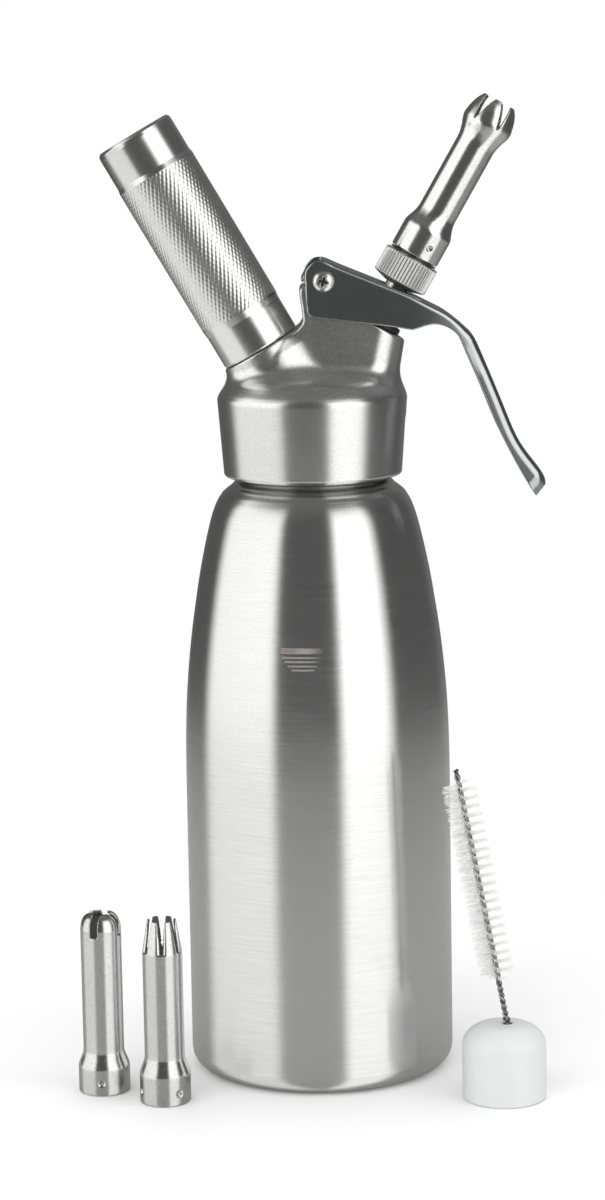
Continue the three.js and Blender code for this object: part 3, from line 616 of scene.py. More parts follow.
# %% Make a metal
RING_STEP = 0.35
RING_REACH = 60.0
SPECK_SCALE, CLOUD_SCALE = 1500.0, 90.0


def metal(name, colour, roughness, rings=0.0, grain=0.0, place=Matrix(), mark=None, brushed=0.0,
          blasted=None):
    material, tree = new_material(name)
    x, y, z = tree.split(tree.here())
    inverse = place.inverted()
    own = [inverse[k][0] * x + inverse[k][1] * y + inverse[k][2] * z + inverse[k][3] for k in range(3)]
    stretched = tree.combine(
        own[0] * RING_REACH, own[1] * RING_REACH, own[2] * (1 / (RING_STEP * MM)),
    )
    streaks = tree.noise(1.0, 3.0, stretched, 0.6)
    specks = tree.noise(SPECK_SCALE, 2.0)
    cloud = tree.noise(CLOUD_SCALE, 3.0)
    if blasted:
        low, high, extra = blasted
        zone = own[2].smooth(low * MM, (low + 1) * MM) * (1 - own[2].smooth((high - 1) * MM, high * MM))
        rings, grain = (1 - zone) * rings, (0.4 + zone * 0.6) * grain
        roughness = roughness + zone * extra
    tone = 1 + (streaks - 0.5) * (rings * 0.5) + (specks - 0.5) * (grain * 0.9) + (cloud - 0.5) * 0.05
    plain = tree.combine(*(tone * part for part in colour))
    rough = (1 + (streaks - 0.5) * (rings * 0.8) + (cloud - 0.5) * 0.25) * roughness
    height = streaks * rings + specks * grain
    bump = tree.node("ShaderNodeBump", None, {
        "Strength": 0.25, "Distance": 0.00006, "Height": height,
    })
    shader = tree.node("ShaderNodeBsdfPrincipled", None, {
        "Base Color": plain, "Roughness": rough, "Metallic": 1.0, "Normal": bump,
        "Anisotropic": brushed, "Anisotropic Rotation": 0.25,
    })
    if mark:
        share, ink = mark(tree, *own)
        tree.feed(shader.inputs["Base Color"], tree.blend(share, plain, ink))
        tree.feed(shader.inputs["Metallic"], 1 - share * 0.9)
        tree.feed(shader.inputs["Roughness"], rough * (1 - share) + share * MARK_ROUGHNESS)
    tree.show(shader)
    return material


# %% [markdown]
# The bottle has a plain level mark: five lines, each shorter than the one above it. It is drawn
# in the steel's own material, by the angle round the bottle and the height.

# %% Draw the level mark
# Height, half thickness, left edge and right edge in millimetres
MARK_LINES = [
    (158.9, 0.9, -12.2, 2.0), (156.6, 0.24, -11.9, 1.6), (155.2, 0.24, -11.0, 1.5),
    (153.7, 0.24, -10.0, 0.4), (152.3, 0.24, -8.7, -0.8),
]
MARK_COLOUR = (0.24, 0.20, 0.19, 1)
MARK_ROUGHNESS = 0.55
EDGE = 0.14


def level_mark(tree, x, y, z):
    share = 0
    front = y < 0
    for height, half, left, right in MARK_LINES:
        middle, reach = (left + right) / 2, (right - left) / 2
        across = 1 - tree.math("ABSOLUTE", x / MM - middle).smooth(reach - EDGE, reach + EDGE)
        upright = 1 - tree.math("ABSOLUTE", z / MM - height).smooth(half - EDGE, half + EDGE)
        share = across * upright + share
    worn = 1 - x.smooth(-9 * MM, 2.5 * MM) * 0.95
    return share * front * worn, MARK_COLOUR


# %% Shade grooves, recess and hollows
RIBS_LOW, RIBS_HIGH = 17.3, 25.9


def within(value, low, high):
    return (value > low * MM) * (value < high * MM)


# Painted shade: darkens the grooves between the adapter's ribs, where shade falls between them
def groove_painted_shade(tree, x, y, z):
    radius = tree.radius(x, y)
    share = (1 - radius.smooth(9.4 * MM, 9.85 * MM)) * (radius > 9.2 * MM)
    return share * within(z, RIBS_LOW, RIBS_HIGH) * 0.85, grey(0.1)


def recess_shade(tree, x, y, z):
    return within(z, -15.2, -13.2) * (tree.radius(x, y) < 2.4 * MM) * 0.9, grey(0.06)


def hollow_shade(start, narrowing):
    def shade(tree, x, y, z):
        above = tree.math("MAXIMUM", z - start * MM, 0)
        return tree.radius(x, y) + above * narrowing < 6.4 * MM, grey(0.09)
    return shade


def stem_shade(tree, x, y, z):
    return x.smooth(-1.9 * MM, -1.1 * MM) * within(z, 12, 17.5) * 0.95, grey(0.05)


# %% Mix the metals
BOTTLE_STEEL = metal(
    "bottle_steel", (0.77, 0.77, 0.76), 0.22, rings=0.5, grain=0.2, mark=level_mark, brushed=0.75,
)
HEAD_METAL = metal(
    "head_metal", (0.80, 0.80, 0.79), 0.24, rings=0.15, grain=0.8, brushed=0.3, blasted=(243.6, 300, 0.06),
)
LEVER_STEEL = metal("lever_steel", (0.52, 0.53, 0.53), 0.2, grain=0.05)
STAR_STEEL, FINGER_STEEL = (
    metal(name, (0.67, 0.67, 0.66), 0.19, rings=0.15, grain=0.5, place=place, mark=hollow_shade(*cone))
    for name, place, cone in (
        ("star_steel", STAR_PLACE, (62, 1.2)), ("finger_steel", FINGER_PLACE, (54.8, 0.168)),
    )
)
FITTED_TIP_STEEL = metal(
    "fitted_tip_steel", (0.80, 0.80, 0.79), 0.18, rings=0.1, grain=0.6, place=NOZZLE,
)
HOLDER_METAL = metal(
    "holder_metal", (0.84, 0.84, 0.83), 0.2, rings=0.15, grain=0.5, place=PORT, blasted=(14.6, 71.6, 0.12),
)
# The knurled steel carries painted shade in the grooves between its ribs
KNURLED_STEEL = metal(
    "knurled_steel", (0.96, 0.96, 0.95), 0.36, rings=0.15, place=NOZZLE, mark=groove_painted_shade,
)
TURNED_STEEL = metal("turned_steel", (0.72, 0.72, 0.71), 0.28, rings=0.4)
SCREW_STEEL = metal("screw_steel", (0.82, 0.82, 0.81), 0.18, place=SCREW, mark=recess_shade)
STEM_STEEL = metal("stem_steel", (0.72, 0.72, 0.71), 0.28, place=NOZZLE, mark=stem_shade)
SPRING_STEEL = metal("spring_steel", (0.6, 0.6, 0.6), 0.3)
CHARGER_STEEL = metal("charger_steel", (0.76, 0.76, 0.75), 0.22, rings=0.2, place=PORT)
BRUSH_WIRE = metal("brush_wire", (0.36, 0.36, 0.36), 0.25)


# %% Make plastics and rubbers
def plastic(name, colour, roughness, pitted=0.3):
    material, tree = new_material(name)
    cloud = tree.noise(160.0, 3.0)
    pits = tree.noise(1800.0, 2.0)
    tone = 1 + (cloud - 0.5) * 0.06
    bump = tree.node("ShaderNodeBump", None, {
        "Strength": pitted, "Distance": 0.00005, "Height": pits,
    })
    tree.show(tree.node("ShaderNodeBsdfPrincipled", None, {
        "Base Color": tree.combine(*(tone * part for part in colour)),
        "Roughness": roughness * (1 + (cloud - 0.5) * 0.2), "Normal": bump,
    }))
    return material


BLACK_PLASTIC = plastic("black_plastic", (0.018, 0.018, 0.02), 0.4)
WHITE_PLASTIC = plastic("white_plastic", (0.73, 0.737, 0.74), 0.4, pitted=0.1)
NYLON_BRISTLE = plastic("nylon_bristle", (0.9, 0.9, 0.89), 0.45, pitted=0.0)
GREY_RUBBER = plastic("grey_rubber", (0.2, 0.2, 0.21), 0.7)
BLACK_RUBBER = plastic("black_rubber", (0.03, 0.03, 0.03), 0.6)
print(len(bpy.data.materials), "materials")

# %% [markdown]
# ## The bottle
# One sheet of steel, drawn to a cup and then necked in. The profile is the outside line, then
# the same line moved in by the wall, so that the bottle is a real shell with an open mouth.

# %% Draw the bottle
BOTTLE_RADIUS = 47.5
WALL = 1.2
STRAIGHT_TOP = 96
SHOULDER_TOP = 210.3
SHOULDER_TOP_RADIUS = 30.85
MOUTH = 237
SHOULDER_SHARES = [
    (0, 0), (0.085, 0.0015), (0.17, 0.006), (0.27, 0.024), (0.36, 0.056), (0.453, 0.111),
    (0.549, 0.186), (0.644, 0.282), (0.739, 0.39), (0.834, 0.525), (0.897, 0.63), (0.935, 0.71),
    (0.965, 0.8), (0.99, 0.91),
]


def bottle_line():
    rise, narrow = SHOULDER_TOP - STRAIGHT_TOP, BOTTLE_RADIUS - SHOULDER_TOP_RADIUS
    shoulder = flowing([
        (BOTTLE_RADIUS - inward * narrow, STRAIGHT_TOP + up * rise) for up, inward in SHOULDER_SHARES
    ], 5)
    return [(BOTTLE_RADIUS, 50), *shoulder, (30.6, 210.6), (29.2, 211.6, 1), (27, 214, 1.5)]


line = bottle_line()
inner = [(r - WALL, z, *rest) for r, z, *rest in line[::-1]]
turned_piece(
    "bottle", [
        (0, 0.7), (30, 0.7, 1), (34, 0, 1.2), (BOTTLE_RADIUS, 0, 9), *line, (27, MOUTH, 0.4),
        (27 - WALL, MOUTH, 0.4), *inner, (BOTTLE_RADIUS - WALL, 1.4, 8), (0, 1.8),
    ], BOTTLE_STEEL, "bottle_steel", "bottle", "bottle_shell", around=192,
)


# %% [markdown]
# The neck has a threaded ring, which shows when the head is lifted off. The ridge is a wave on
# the ring's radius that climbs one pitch per turn, faded out at both ends.

# %% Cut the neck ring
NECK_PITCH, NECK_THREAD_DEPTH = 4, 0.6


def swell(value, low, high, edge):
    rise = np.clip((value - low) / edge, 0, 1)
    fall = np.clip((high - value) / edge, 0, 1)
    return np.minimum(rise, fall)


def neck_ring_field(x, y, z):
    r = radial(x, y)
    wave = np.cos(2 * pi * z / NECK_PITCH - np.arctan2(y, x))
    ridge = NECK_THREAD_DEPTH * np.clip(0.55 + 0.9 * wave, 0, 1) * swell(z, 219, 235, 1.5)
    return most(most(r - 29 - ridge, 27.3 - r, 0.3), np.abs(z - 226.7) - 10, 0.5)


skinned_piece(
    "neck_thread", neck_ring_field, (-31, -31, 215.5), (31, 31, 238), 0.5, TURNED_STEEL,
    "turned_steel", "bottle", "neck_ring",
)
turned_piece(
    "mouth_gasket", [(23.5, 237.3, 0.5), (29.3, 237.3, 0.5), (29.3, 240.1, 0.5), (23.5, 240.1, 0.5)],
    GREY_RUBBER, "grey_rubber", "gasket", "head_gasket", around=128,
)

# %% [markdown]
# ## The head
# The head is one casting that is turned outside and blasted. Collar with dome, charger port,
# lever boss and nozzle boss are separate fields. A smooth minimum of two to six millimetres
# blends them as the pattern maker's fillets do, and the bores are taken away last.

# %% Cast the head
PORT_RADIUS, PORT_DEPTH, SEAT_RADIUS = 14.85, 26, 15.1
SPIGOT_RADIUS, PORT_PITCH, PORT_THREAD = 10.4, 1.6, 0.28
RECESS_RADIUS, RECESS_DEPTH, GAS_HOLE_RADIUS = 4.7, 2.6, 1.2
NOZZLE_RADIUS = 11.6
BLOCK_FOOT, BLOCK_RISE, FRONT_DROP = 246, 22.05, 5.8
BLOCK_MIDDLE, BLOCK_SHIFT, BLOCK_NARROWING = 18.6, 4.4, 0.134
PORT_FILLET, DEEP_FILLET, DOME_FILLET = 2.0, 3.0, 6.0
COLLAR_BORE, HEAD_CEILING = 30, 240.4
head_outline = outline([
    (0, 214.9), (30.8, 214.9), (31.6, 215.7), (33.5, 241.5),
    *flowing([
        (33.53, 242.3), (33.4, 243.0), (33.05, 243.8), (32.4, 244.9), (30.9, 246.6), (28.9, 248.3),
        (24.9, 249.8), (16.8, 251.0), (0, 251.5),
    ], 4),
])
boss_outline = outline([
    (-9, 240), (12.7, 240), (12.7, 273.5),
    *softened([
        (12.4, 276), (11.5, 281), (8.3, 286.8), (4.55, 288.2), (0.8, 287), (-0.6, 284),
    ])[1:-1],
    (-0.6, 282.3), (-2.3, 282.2), (-3.1, 281.9), (-3.65, 281.3), (-3.85, 280.2), (-3.75, 278.5),
    (-3.45, 276.6), (-3.05, 273.4), (-2.85, 271),
    *flowing([(-2.85, 270), (-3.6, 268.6), (-5.0, 267.1)], 4), (-9, 264.2),
])


def nozzle_block(x, y, z, nz):
    front = np.clip((x - 20) / 11, 0, 1)
    share = np.clip((z - BLOCK_FOOT) / (BLOCK_RISE - FRONT_DROP * front), -0.4, 1.2)
    middle = BLOCK_MIDDLE + BLOCK_SHIFT * share
    reach = NOZZLE_RADIUS * (1 - BLOCK_NARROWING * share)
    ahead = np.maximum(x - middle, 0) / reach
    end = (np.sqrt(ahead * ahead + (y / NOZZLE_RADIUS) ** 2) - 1) * NOZZLE_RADIUS
    return most(most(most(end, nz, 0.8), 4 - x), 240 - z)


def head_field(x, y, z):
    collar = head_outline(radial(x, y), z)
    px, py, pz = along(x, y, z, PORT)
    pr = radial(px, py)
    stub = most(most(pr - PORT_RADIUS, pz, 0.7), -pz - PORT_DEPTH)
    thread = np.cos(2 * pi * pz / PORT_PITCH - np.arctan2(py, px))
    seat = most(pr - SEAT_RADIUS, -pz)
    spigot = pr - SPIGOT_RADIUS + PORT_THREAD * (1 - thread) * swell(pz, 1.2, 13.2, 0.8)
    spigot = most(spigot, np.abs(pz - 6.5) - 7.5, 0.6)
    nx, ny, nz = along(x, y, z, NOZZLE)
    nr = radial(nx, ny)
    boss = most(boss_outline(x, z), np.abs(y) - NOZZLE_RADIUS, 1.2)
    deep = np.clip((-pz - 0.5) / 4, 0, 1)
    bosses = least(nozzle_block(x, y, z, nz), boss)
    body = least(stub, bosses, PORT_FILLET + DEEP_FILLET * deep)
    body = least(without(body, seat, 0.3), collar, DOME_FILLET)
    body = least(body, spigot)
    body = without(body, most(radial(x, y) - COLLAR_BORE, z - HEAD_CEILING), 0.3)
    recess = most(pr - RECESS_RADIUS, RECESS_DEPTH - pz)
    gas_hole = most(pr - GAS_HOLE_RADIUS, -pz - PORT_DEPTH)
    body = without(body, least(recess, gas_hole), 0.3)
    chamber = least(most(nr - 7.8, -nz - 21), most(nr - 4.4, -nz - 24.3))
    body = without(body, least(chamber, most(nr - 6.6, nz + 24)), 0.3)
    return without(body, radial(x - PIVOT[0], z - PIVOT[1]) - 3.5, 0.4)


skinned_piece(
    "head", head_field, (-42, -36, 213), (36, 36, 290), 0.58, HEAD_METAL, "head_metal", "head",
    "head_casting",
)

# %% [markdown]
# ## The lever
# A stamped steel channel: two ears stand beside the boss, a web joins them on top, and the tail
# bends down. The side view is one outline and the plan is a width that shrinks along the tail.
# The bend between web and ears is a smooth maximum, wider along the tail, where the sides lean
# in a little too. The hollow is the same shape moved in by the thickness of the sheet.

# %% Stamp the lever
SHEET = 1.2
LEVER_TOP = [
    (-1.85, 283), (-1.95, 286.3), (-1.35, 288.2), (0.5, 290.3), (2.5, 291.2), (5.4, 291.0),
    (10.6, 288.7), (22.9, 283.6), (34.1, 278.9), (41.6, 275.1), (46.9, 272.3), (51.2, 269.1),
    (54.6, 266.1), (57.3, 263.1), (61.2, 254.3), (66.1, 242.4), (71, 230.2), (74.9, 223.1),
    (80.9, 215), (83.3, 210),
]
LEVER_UNDER = [
    (79.8, 204.9), (75.8, 211.2), (70.9, 220.2), (65, 232.4), (60.2, 244.4), (55.3, 256),
    (52.3, 262.9), (49.2, 266.2), (45.4, 268), (41.6, 268.1), (36.3, 266.6), (34, 266.7),
    (28.4, 267.7), (22.7, 268.5), (11.9, 269.8), (1.2, 271.3), (0.1, 271.7), (-0.8, 272.6),
    (-1.3, 274), (-1.85, 280),
]
below_top = outline(flowing(LEVER_TOP, 4) + [(81.5, 207.4), (60, 175), (-1.85, 175)])
back_hook = outline([(-3.4, 284), (-1.4, 283.6), (-0.6, 287.4), (-2.0, 286.6)])
above_under = outline(flowing(LEVER_UNDER, 4) + [(-5, 280), (-5, 330), (120, 330), (120, 200)])
EAR_HALF, TAIL_HALF, TIP_HALF = 13.2, 10.0, 7.5
KNUCKLE = (57.3, 263.1)
NARROWING = (34, 72)
TAIL_END, TIP_LENGTH = 131.6, 9.8
TAIL_BEND = (46, 60)
TAIL_LEAN, TAIL_ROUNDING = 0.075, 1.4
SLOT_HALF, SLOT_OFFSET, PIN_HOLE = 4.6, 0.85, 2.3


def lever_width(x, y, z, inset):
    along_tail = x + 0.9 * np.maximum(KNUCKLE[1] - z, 0)
    half = EAR_HALF + (TAIL_HALF - EAR_HALF) * eased(along_tail, *NARROWING)
    share = np.clip((along_tail - KNUCKLE[0]) / (TAIL_END - TIP_LENGTH - KNUCKLE[0]), 0, 1)
    half = half + (TIP_HALF - TAIL_HALF) * share
    ahead = np.maximum(along_tail - (TAIL_END - TIP_LENGTH), 0) / (TIP_LENGTH - inset * 1.3)
    half = half - inset
    return (np.sqrt(ahead * ahead + (y / half) ** 2) - 1) * half


def lever_field(x, y, z):
    top = below_top(x, z)
    bend = eased(x + 0.4 * (KNUCKLE[1] - z), *TAIL_BEND)
    lean = TAIL_LEAN * bend * (top + 3)
    side = lever_width(x, y, z, 0) + lean
    body = most(top, side, 0.9 + 0.9 * np.clip((x - 2) / 6, 0, 1) + TAIL_ROUNDING * bend)
    body = most(body, above_under(x, z), 0.5)
    roof = least(top + SHEET, x - 4.6)
    hollow = most(roof, lever_width(x, y, z, SHEET) + lean, 1.6 + TAIL_ROUNDING * bend)
    body = without(body, hollow, 0.4)
    nx, ny, nz = along(x, y, z, NOZZLE)
    slot = radial(np.maximum(np.abs(nx + SLOT_OFFSET) - SLOT_OFFSET, 0), ny) - SLOT_HALF
    body = without(body, most(slot, -nz), 0.4)
    body = without(body, radial(x - PIVOT[0], z - PIVOT[1]) - PIN_HOLE, 0.3)
    return least(body, most(back_hook(x, z), np.abs(y) - EAR_HALF + 0.6, 0.4))


skinned_piece(
    "lever_stamping", lever_field, (-4.5, -14.5, 203.5), (84.5, 14.5, 293), 0.4, LEVER_STEEL,
    "lever_steel", "lever", "lever",
)

# %% [markdown]
# ## Screw and nut
# The screw's pan head has a cross recess. It lies along Y, so it is made upright and then turned.

# %% Make the screw and the nut
CROSS_TURN = radians(18)
CROSS_HALF, CROSS_REACH, CROSS_DEPTH = 0.52, 2.0, 2.2
screw_outline = outline([
    (0, -15.6), (1.5, -15.55), (2.5, -15.3), (3.25, -14.8), (3.62, -14.2), (3.7, -13.7), (3.6, -13.5),
    (2, -13.4), (2, 16.5), (1.7, 16.8), (0, 16.8),
])


def screw_field(x, y, z):
    u, v = x * cos(CROSS_TURN) + y * sin(CROSS_TURN), y * cos(CROSS_TURN) - x * sin(CROSS_TURN)
    depth = z + 15.6
    narrow = 0.28 * depth
    first, second = (
        most(np.abs(a) - CROSS_HALF + 0.6 * narrow, np.abs(b) - CROSS_REACH + 2 * narrow)
        for a, b in ((u, v), (v, u))
    )
    recess = most(least(first, second, 0.4), depth - CROSS_DEPTH)
    return without(screw_outline(radial(x, y), z), recess, 0.15)


def nut_field(x, y, z):
    flats = -1e9
    for k in range(3):
        angle = radians(60 * k)
        flats = most(flats, np.abs(x * sin(angle) + y * cos(angle)) - 3.5)
    crown = np.sqrt(x * x + y * y + (z - 12.2) ** 2) - 5.55
    body = most(most(flats, crown), np.abs(z - 15.0) - 1.5, 0.2)
    return without(body, radial(x, y) - 2.15, 0.2)


skinned_piece(
    "pivot_screw", screw_field, (-4.2, -4.2, -16.2), (4.2, 4.2, 17.4), 0.22, SCREW_STEEL,
    "screw_steel", "lever", "lever_screw", place=SCREW,
)
skinned_piece(
    "pivot_nut", nut_field, (-4.8, -4.8, 13), (4.8, 4.8, 17), 0.22, SCREW_STEEL,
    "screw_steel", "lever", "lever_nut", place=SCREW,
)

# %% [markdown]
# ## Valve, bush and spring
# The stem slides in a black bush. Both are plain turned pieces that lean with the nozzle. The
# return spring is a tube that follows a helix.

# %% Turn the bush and the stem
turned_piece(
    "stem_bush", [
        (3.6, -6), (7.5, -6, 0.3), (7.5, 0.3), (8.8, 0.3, 0.2), (8.8, 2.2, 0.7), (4.2, 2.2, 0.3),
        (3.6, 1.7), (3.6, -1.95), (5.3, -1.95), (5.3, -4.05), (3.6, -4.05),
    ], BLACK_PLASTIC, "black_plastic", "head", "valve_bush", place=NOZZLE, around=64,
)
turned_piece(
    "gas_stem", [
        (0, -28), (5, -28, 0.3), (5, -26.6, 0.3), (2.4, -26.6, 0.2), (2.4, -7.7, 0.2),
        (6.8, -7.7, 0.3), (6.8, -6.3, 0.3), (3.2, -6.3, 0.2), (3.2, 10.1, 0.3), (7.4, 10.1, 0.4),
        (7.4, 11.9, 0.6), (4.2, 12.5, 0.3), (4.2, 15.6), (4.6, 15.8, 0.1), (4.6, 17.4, 0.1),
        (4.2, 17.6), (4.2, 24.3, 0.4), (1.7, 24.3, 0.2),
        (1.7, -15.4), (0, -15.4),
    ], STEM_STEEL, "turned_steel", "valve", "valve_stem", place=NOZZLE, around=64,
)

# %% Wind the return spring
COIL_RADIUS, COIL_WIRE, COIL_TURNS = 5.9, 0.6, 5
COIL_LOW, COIL_HIGH = -20.1, -8.6


def coil(steps=24, sides=10):
    verts, faces = [], []
    count = COIL_TURNS * steps
    for i in range(count + 1):
        angle = 2 * pi * i / steps
        height = COIL_LOW + (COIL_HIGH - COIL_LOW) * i / count
        for k in range(sides):
            turn = 2 * pi * k / sides
            reach = COIL_RADIUS + COIL_WIRE * cos(turn)
            verts.append((reach * cos(angle), reach * sin(angle), height + COIL_WIRE * sin(turn)))
    for i in range(count):
        for k in range(sides):
            a, b = i * sides + k, i * sides + (k + 1) % sides
            faces.append((a, a + sides, b + sides, b))
    faces.append(tuple(range(sides)))
    faces.append(tuple(count * sides + k for k in range(sides))[::-1])
    return verts, faces


spring = finish_piece(
    face_out(mesh_of("coil_spring", *coil(), NOZZLE)), SPRING_STEEL, "spring_steel", "head",
    "return_spring",
)
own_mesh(spring)

# %% [markdown]
# ## Ribs and knurls with Geometry Nodes
# Straight ribs and the diamonds of a knurl are one rule: waves that run round the piece and
# climb as they go. The node group moves each point of a fine turned mesh inwards by two such
# waves. With no slope they are straight ribs; with two opposite slopes they cross as diamonds.

# %% Build the knurl group
def new_group(name, inputs):
    group = bpy.data.node_groups.new(name, "GeometryNodeTree")
    group.interface.new_socket("Geometry", in_out="INPUT", socket_type="NodeSocketGeometry")
    for title, value in inputs.items():
        kind = "NodeSocketInt" if isinstance(value, int) else "NodeSocketFloat"
        socket = group.interface.new_socket(title, in_out="INPUT", socket_type=kind)
        socket.default_value = value
    group.interface.new_socket("Geometry", in_out="OUTPUT", socket_type="NodeSocketGeometry")
    tree = Tree(group)
    given = tree.node("NodeGroupInput")
    values = {title: Level(tree, given.outputs[title]) for title in inputs}
    return tree, given.outputs["Geometry"], values


def close_group(tree, geometry, material):
    real = tree.node("GeometryNodeRealizeInstances", None, {"Geometry": geometry})
    painted = tree.node("GeometryNodeSetMaterial", None, {
        "Geometry": real, "Material": material,
    })
    tree.feed(tree.node("NodeGroupOutput").inputs["Geometry"], painted)
    return tree.group


def grow(name, group, values, start=None, place=Matrix()):
    mesh = start or bpy.data.meshes.new(name)
    seedling = bpy.data.objects.new(name, mesh)
    link(seedling)
    modifier = seedling.modifiers.new("grow", "NODES")
    modifier.node_group = group
    for socket in group.interface.items_tree:
        if socket.in_out == "INPUT" and socket.name in values:
            modifier[socket.identifier] = values[socket.name]
    ready = seedling.evaluated_get(bpy.context.evaluated_depsgraph_get())
    made = bpy.data.meshes.new_from_object(ready)
    bpy.data.objects.remove(seedling)
    bpy.data.meshes.remove(mesh)
    made.name = name
    made.transform(place @ Matrix.Scale(MM, 4))
    return made


def knurl_group(material):
    tree, geometry, given = new_group("knurl", {
        "Starts": 60, "Slope": 0.0, "Depth": 0.3, "Cross Depth": 0.0, "Low": 0.0, "High": 10.0,
        "Run Out": 0.5, "Least Radius": 5.0,
    })
    x, y, z = tree.split(tree.node("GeometryNodeInputPosition"))
    turn = tree.math("ARCTAN2", y, x) * given["Starts"]
    climb = z * given["Slope"]
    first = tree.math("ABSOLUTE", tree.math("COSINE", (turn + climb) * 0.5))
    second = tree.math("ABSOLUTE", tree.math("COSINE", (turn - climb) * 0.5))
    fade = z.smooth(given["Low"], given["Low"] + given["Run Out"])
    fade = fade * (1 - z.smooth(given["High"] - given["Run Out"], given["High"]))
    radius = tree.radius(x, y)
    fade = fade * (radius > given["Least Radius"])
    rise = fade * ((first - 1) * given["Depth"] + (second - 1) * given["Cross Depth"])
    share = rise / radius
    moved = tree.node("GeometryNodeSetPosition", None, {
        "Geometry": geometry, "Offset": tree.combine(x * share, y * share),
    })
    return close_group(tree, moved, material)

# %% [markdown]
# ## Adapter and holder
# The ribbed adapter and the charger holder are turned first, with close loops where the pattern
# lies, and then go through the knurl group. The holder's two sets of ridges have different
# depths, because on the real one a single direction stands out.

# %% Rib the adapter
def close_rows(radius, low, high, step):
    count = max(2, round(abs(high - low) / step))
    return [(radius, low + (high - low) * k / count) for k in range(count + 1)]


KNURL = knurl_group(KNURLED_STEEL)
adapter = mesh_of("nozzle_ring", *spin([
    (5.1, 15.45), (9.3, 16.7, 0.3), (9.9, 17.1), *close_rows(10, RIBS_LOW, RIBS_HIGH, 0.6),
    (10, 26.0), (9.55, 26.4, 0.15), (5.7, 26.4), (5.7, 33.8, 0.4), (2.4, 33.8, 0.2), (2.4, 24.7),
    (4.5, 24.7), (4.5, 19.1), (8.2, 19.1), (8.2, 17.3), (5.1, 16.5),
], around=512), Matrix.Scale(1 / MM, 4))
adapter = grow("nozzle_ring", KNURL, {
    "Starts": 48, "Depth": 0.7, "Low": 17.0, "High": 26.1, "Run Out": 0.35, "Least Radius": 9.8,
}, adapter, NOZZLE)
finish_piece(
    face_out(adapter), KNURLED_STEEL, "knurled_steel", "adapter", "nozzle_adapter", crease=60,
)
turned_piece(
    "tip_washer", [(6, 26.7), (8.8, 26.7, 0.2), (8.8, 27.25, 0.2), (6, 27.25)],
    BLACK_RUBBER, "black_rubber", "adapter", "tip_gasket", place=NOZZLE, around=96,
)

# %% Knurl the holder
holder = mesh_of("charger_tube", *spin([
    (10.85, 0.3, 0.3), (14.2, 0.3, 0.2), (14.45, 0.9, 0.3), (14.45, 12.4, 0.2), (14.8, 15.0, 0.2),
    *close_rows(14.8, 15.3, 71.0, 0.36), (14.8, 71.2, 0.2), (14.45, 72.9, 0.2),
    (14.45, 84.7, 0.3), (14.3, 86.0, 0.4), (13.4, 86.9, 0.4), (0, 86.9), (0, 75.4), (9.4, 75.4, 0.6),
    (9.4, 14.6), (10.85, 14.6),
], around=384), Matrix.Scale(1 / MM, 4))
holder = grow("charger_tube", knurl_group(HOLDER_METAL), {
    "Starts": 58, "Slope": -2.27, "Depth": 0.12, "Cross Depth": 0.065, "Low": 15.0, "High": 71.2,
    "Run Out": 0.5, "Least Radius": 14.7,
}, holder, PORT)
finish_piece(
    face_out(holder), HOLDER_METAL, "holder_metal", "holder", "charger_holder", crease=60,
)
turned_piece(
    "gas_bulb", [
        (0, 8.9), (3.7, 8.9, 0.6), (3.7, 17.0, 1), (3.9, 18.2, 2), (6.5, 21.6, 3), (9, 26.4, 3),
        (9, 69.8, 4), (7.7, 72.4, 3), (4.5, 73.9, 3), (0, 74.3),
    ], CHARGER_STEEL, "charger_steel", "charger", "gas_charger", place=PORT, around=96,
)

# %% [markdown]
# ## The three tips
# Each tip is a thin tube pressed over a threaded ring. Its wall is one outline of radius and
# height; the slots are an outline of width and height that repeats round the axis, so a single
# formula cuts all of them. A small dent near the base holds the ring in place.

# %% Shape the tips
TIP_WALL = 0.95
DENT_PLACE, DENT_RADIUS = 9.5, 1.25


def tip_field(outer, inner, gap, count, phase, dents):
    wall = outline(outer + inner[::-1])
    sector = 2 * pi / count

    def field(x, y, z):
        r = radial(x, y)
        turn = (np.arctan2(y, x) - radians(phase) + sector / 2) % sector - sector / 2
        body = without(wall(r, z), gap(np.abs(r * np.sin(turn)), z, r), 0.3)
        for angle, height in dents:
            u = x - DENT_PLACE * cos(radians(angle))
            v = y - DENT_PLACE * sin(radians(angle))
            far = np.sqrt(u ** 2 + v ** 2 + (z - height) ** 2)
            body = without(body, far - DENT_RADIUS, 0.5)
        return body

    return field


def walled(points):
    return [(r - TIP_WALL, z) for r, z in points]


def plain_gap(points):
    cut = outline(points)
    return lambda side, z, r: cut(side, z)


def finger_gap(side, z, r):
    outside = np.interp(z, FINGER_CONE[0], FINGER_CONE[1])
    depth = np.clip((outside - r) / TIP_WALL, 0, 1)
    narrow = np.interp(z, [54, 56, 59, 62, 65.5, 75], [0.05, 0.15, 0.35, 0.7, 1.2, 2.2])
    return most(side - 1.5 - (narrow - 1.5) * depth, 54.2 - z, 0.5)


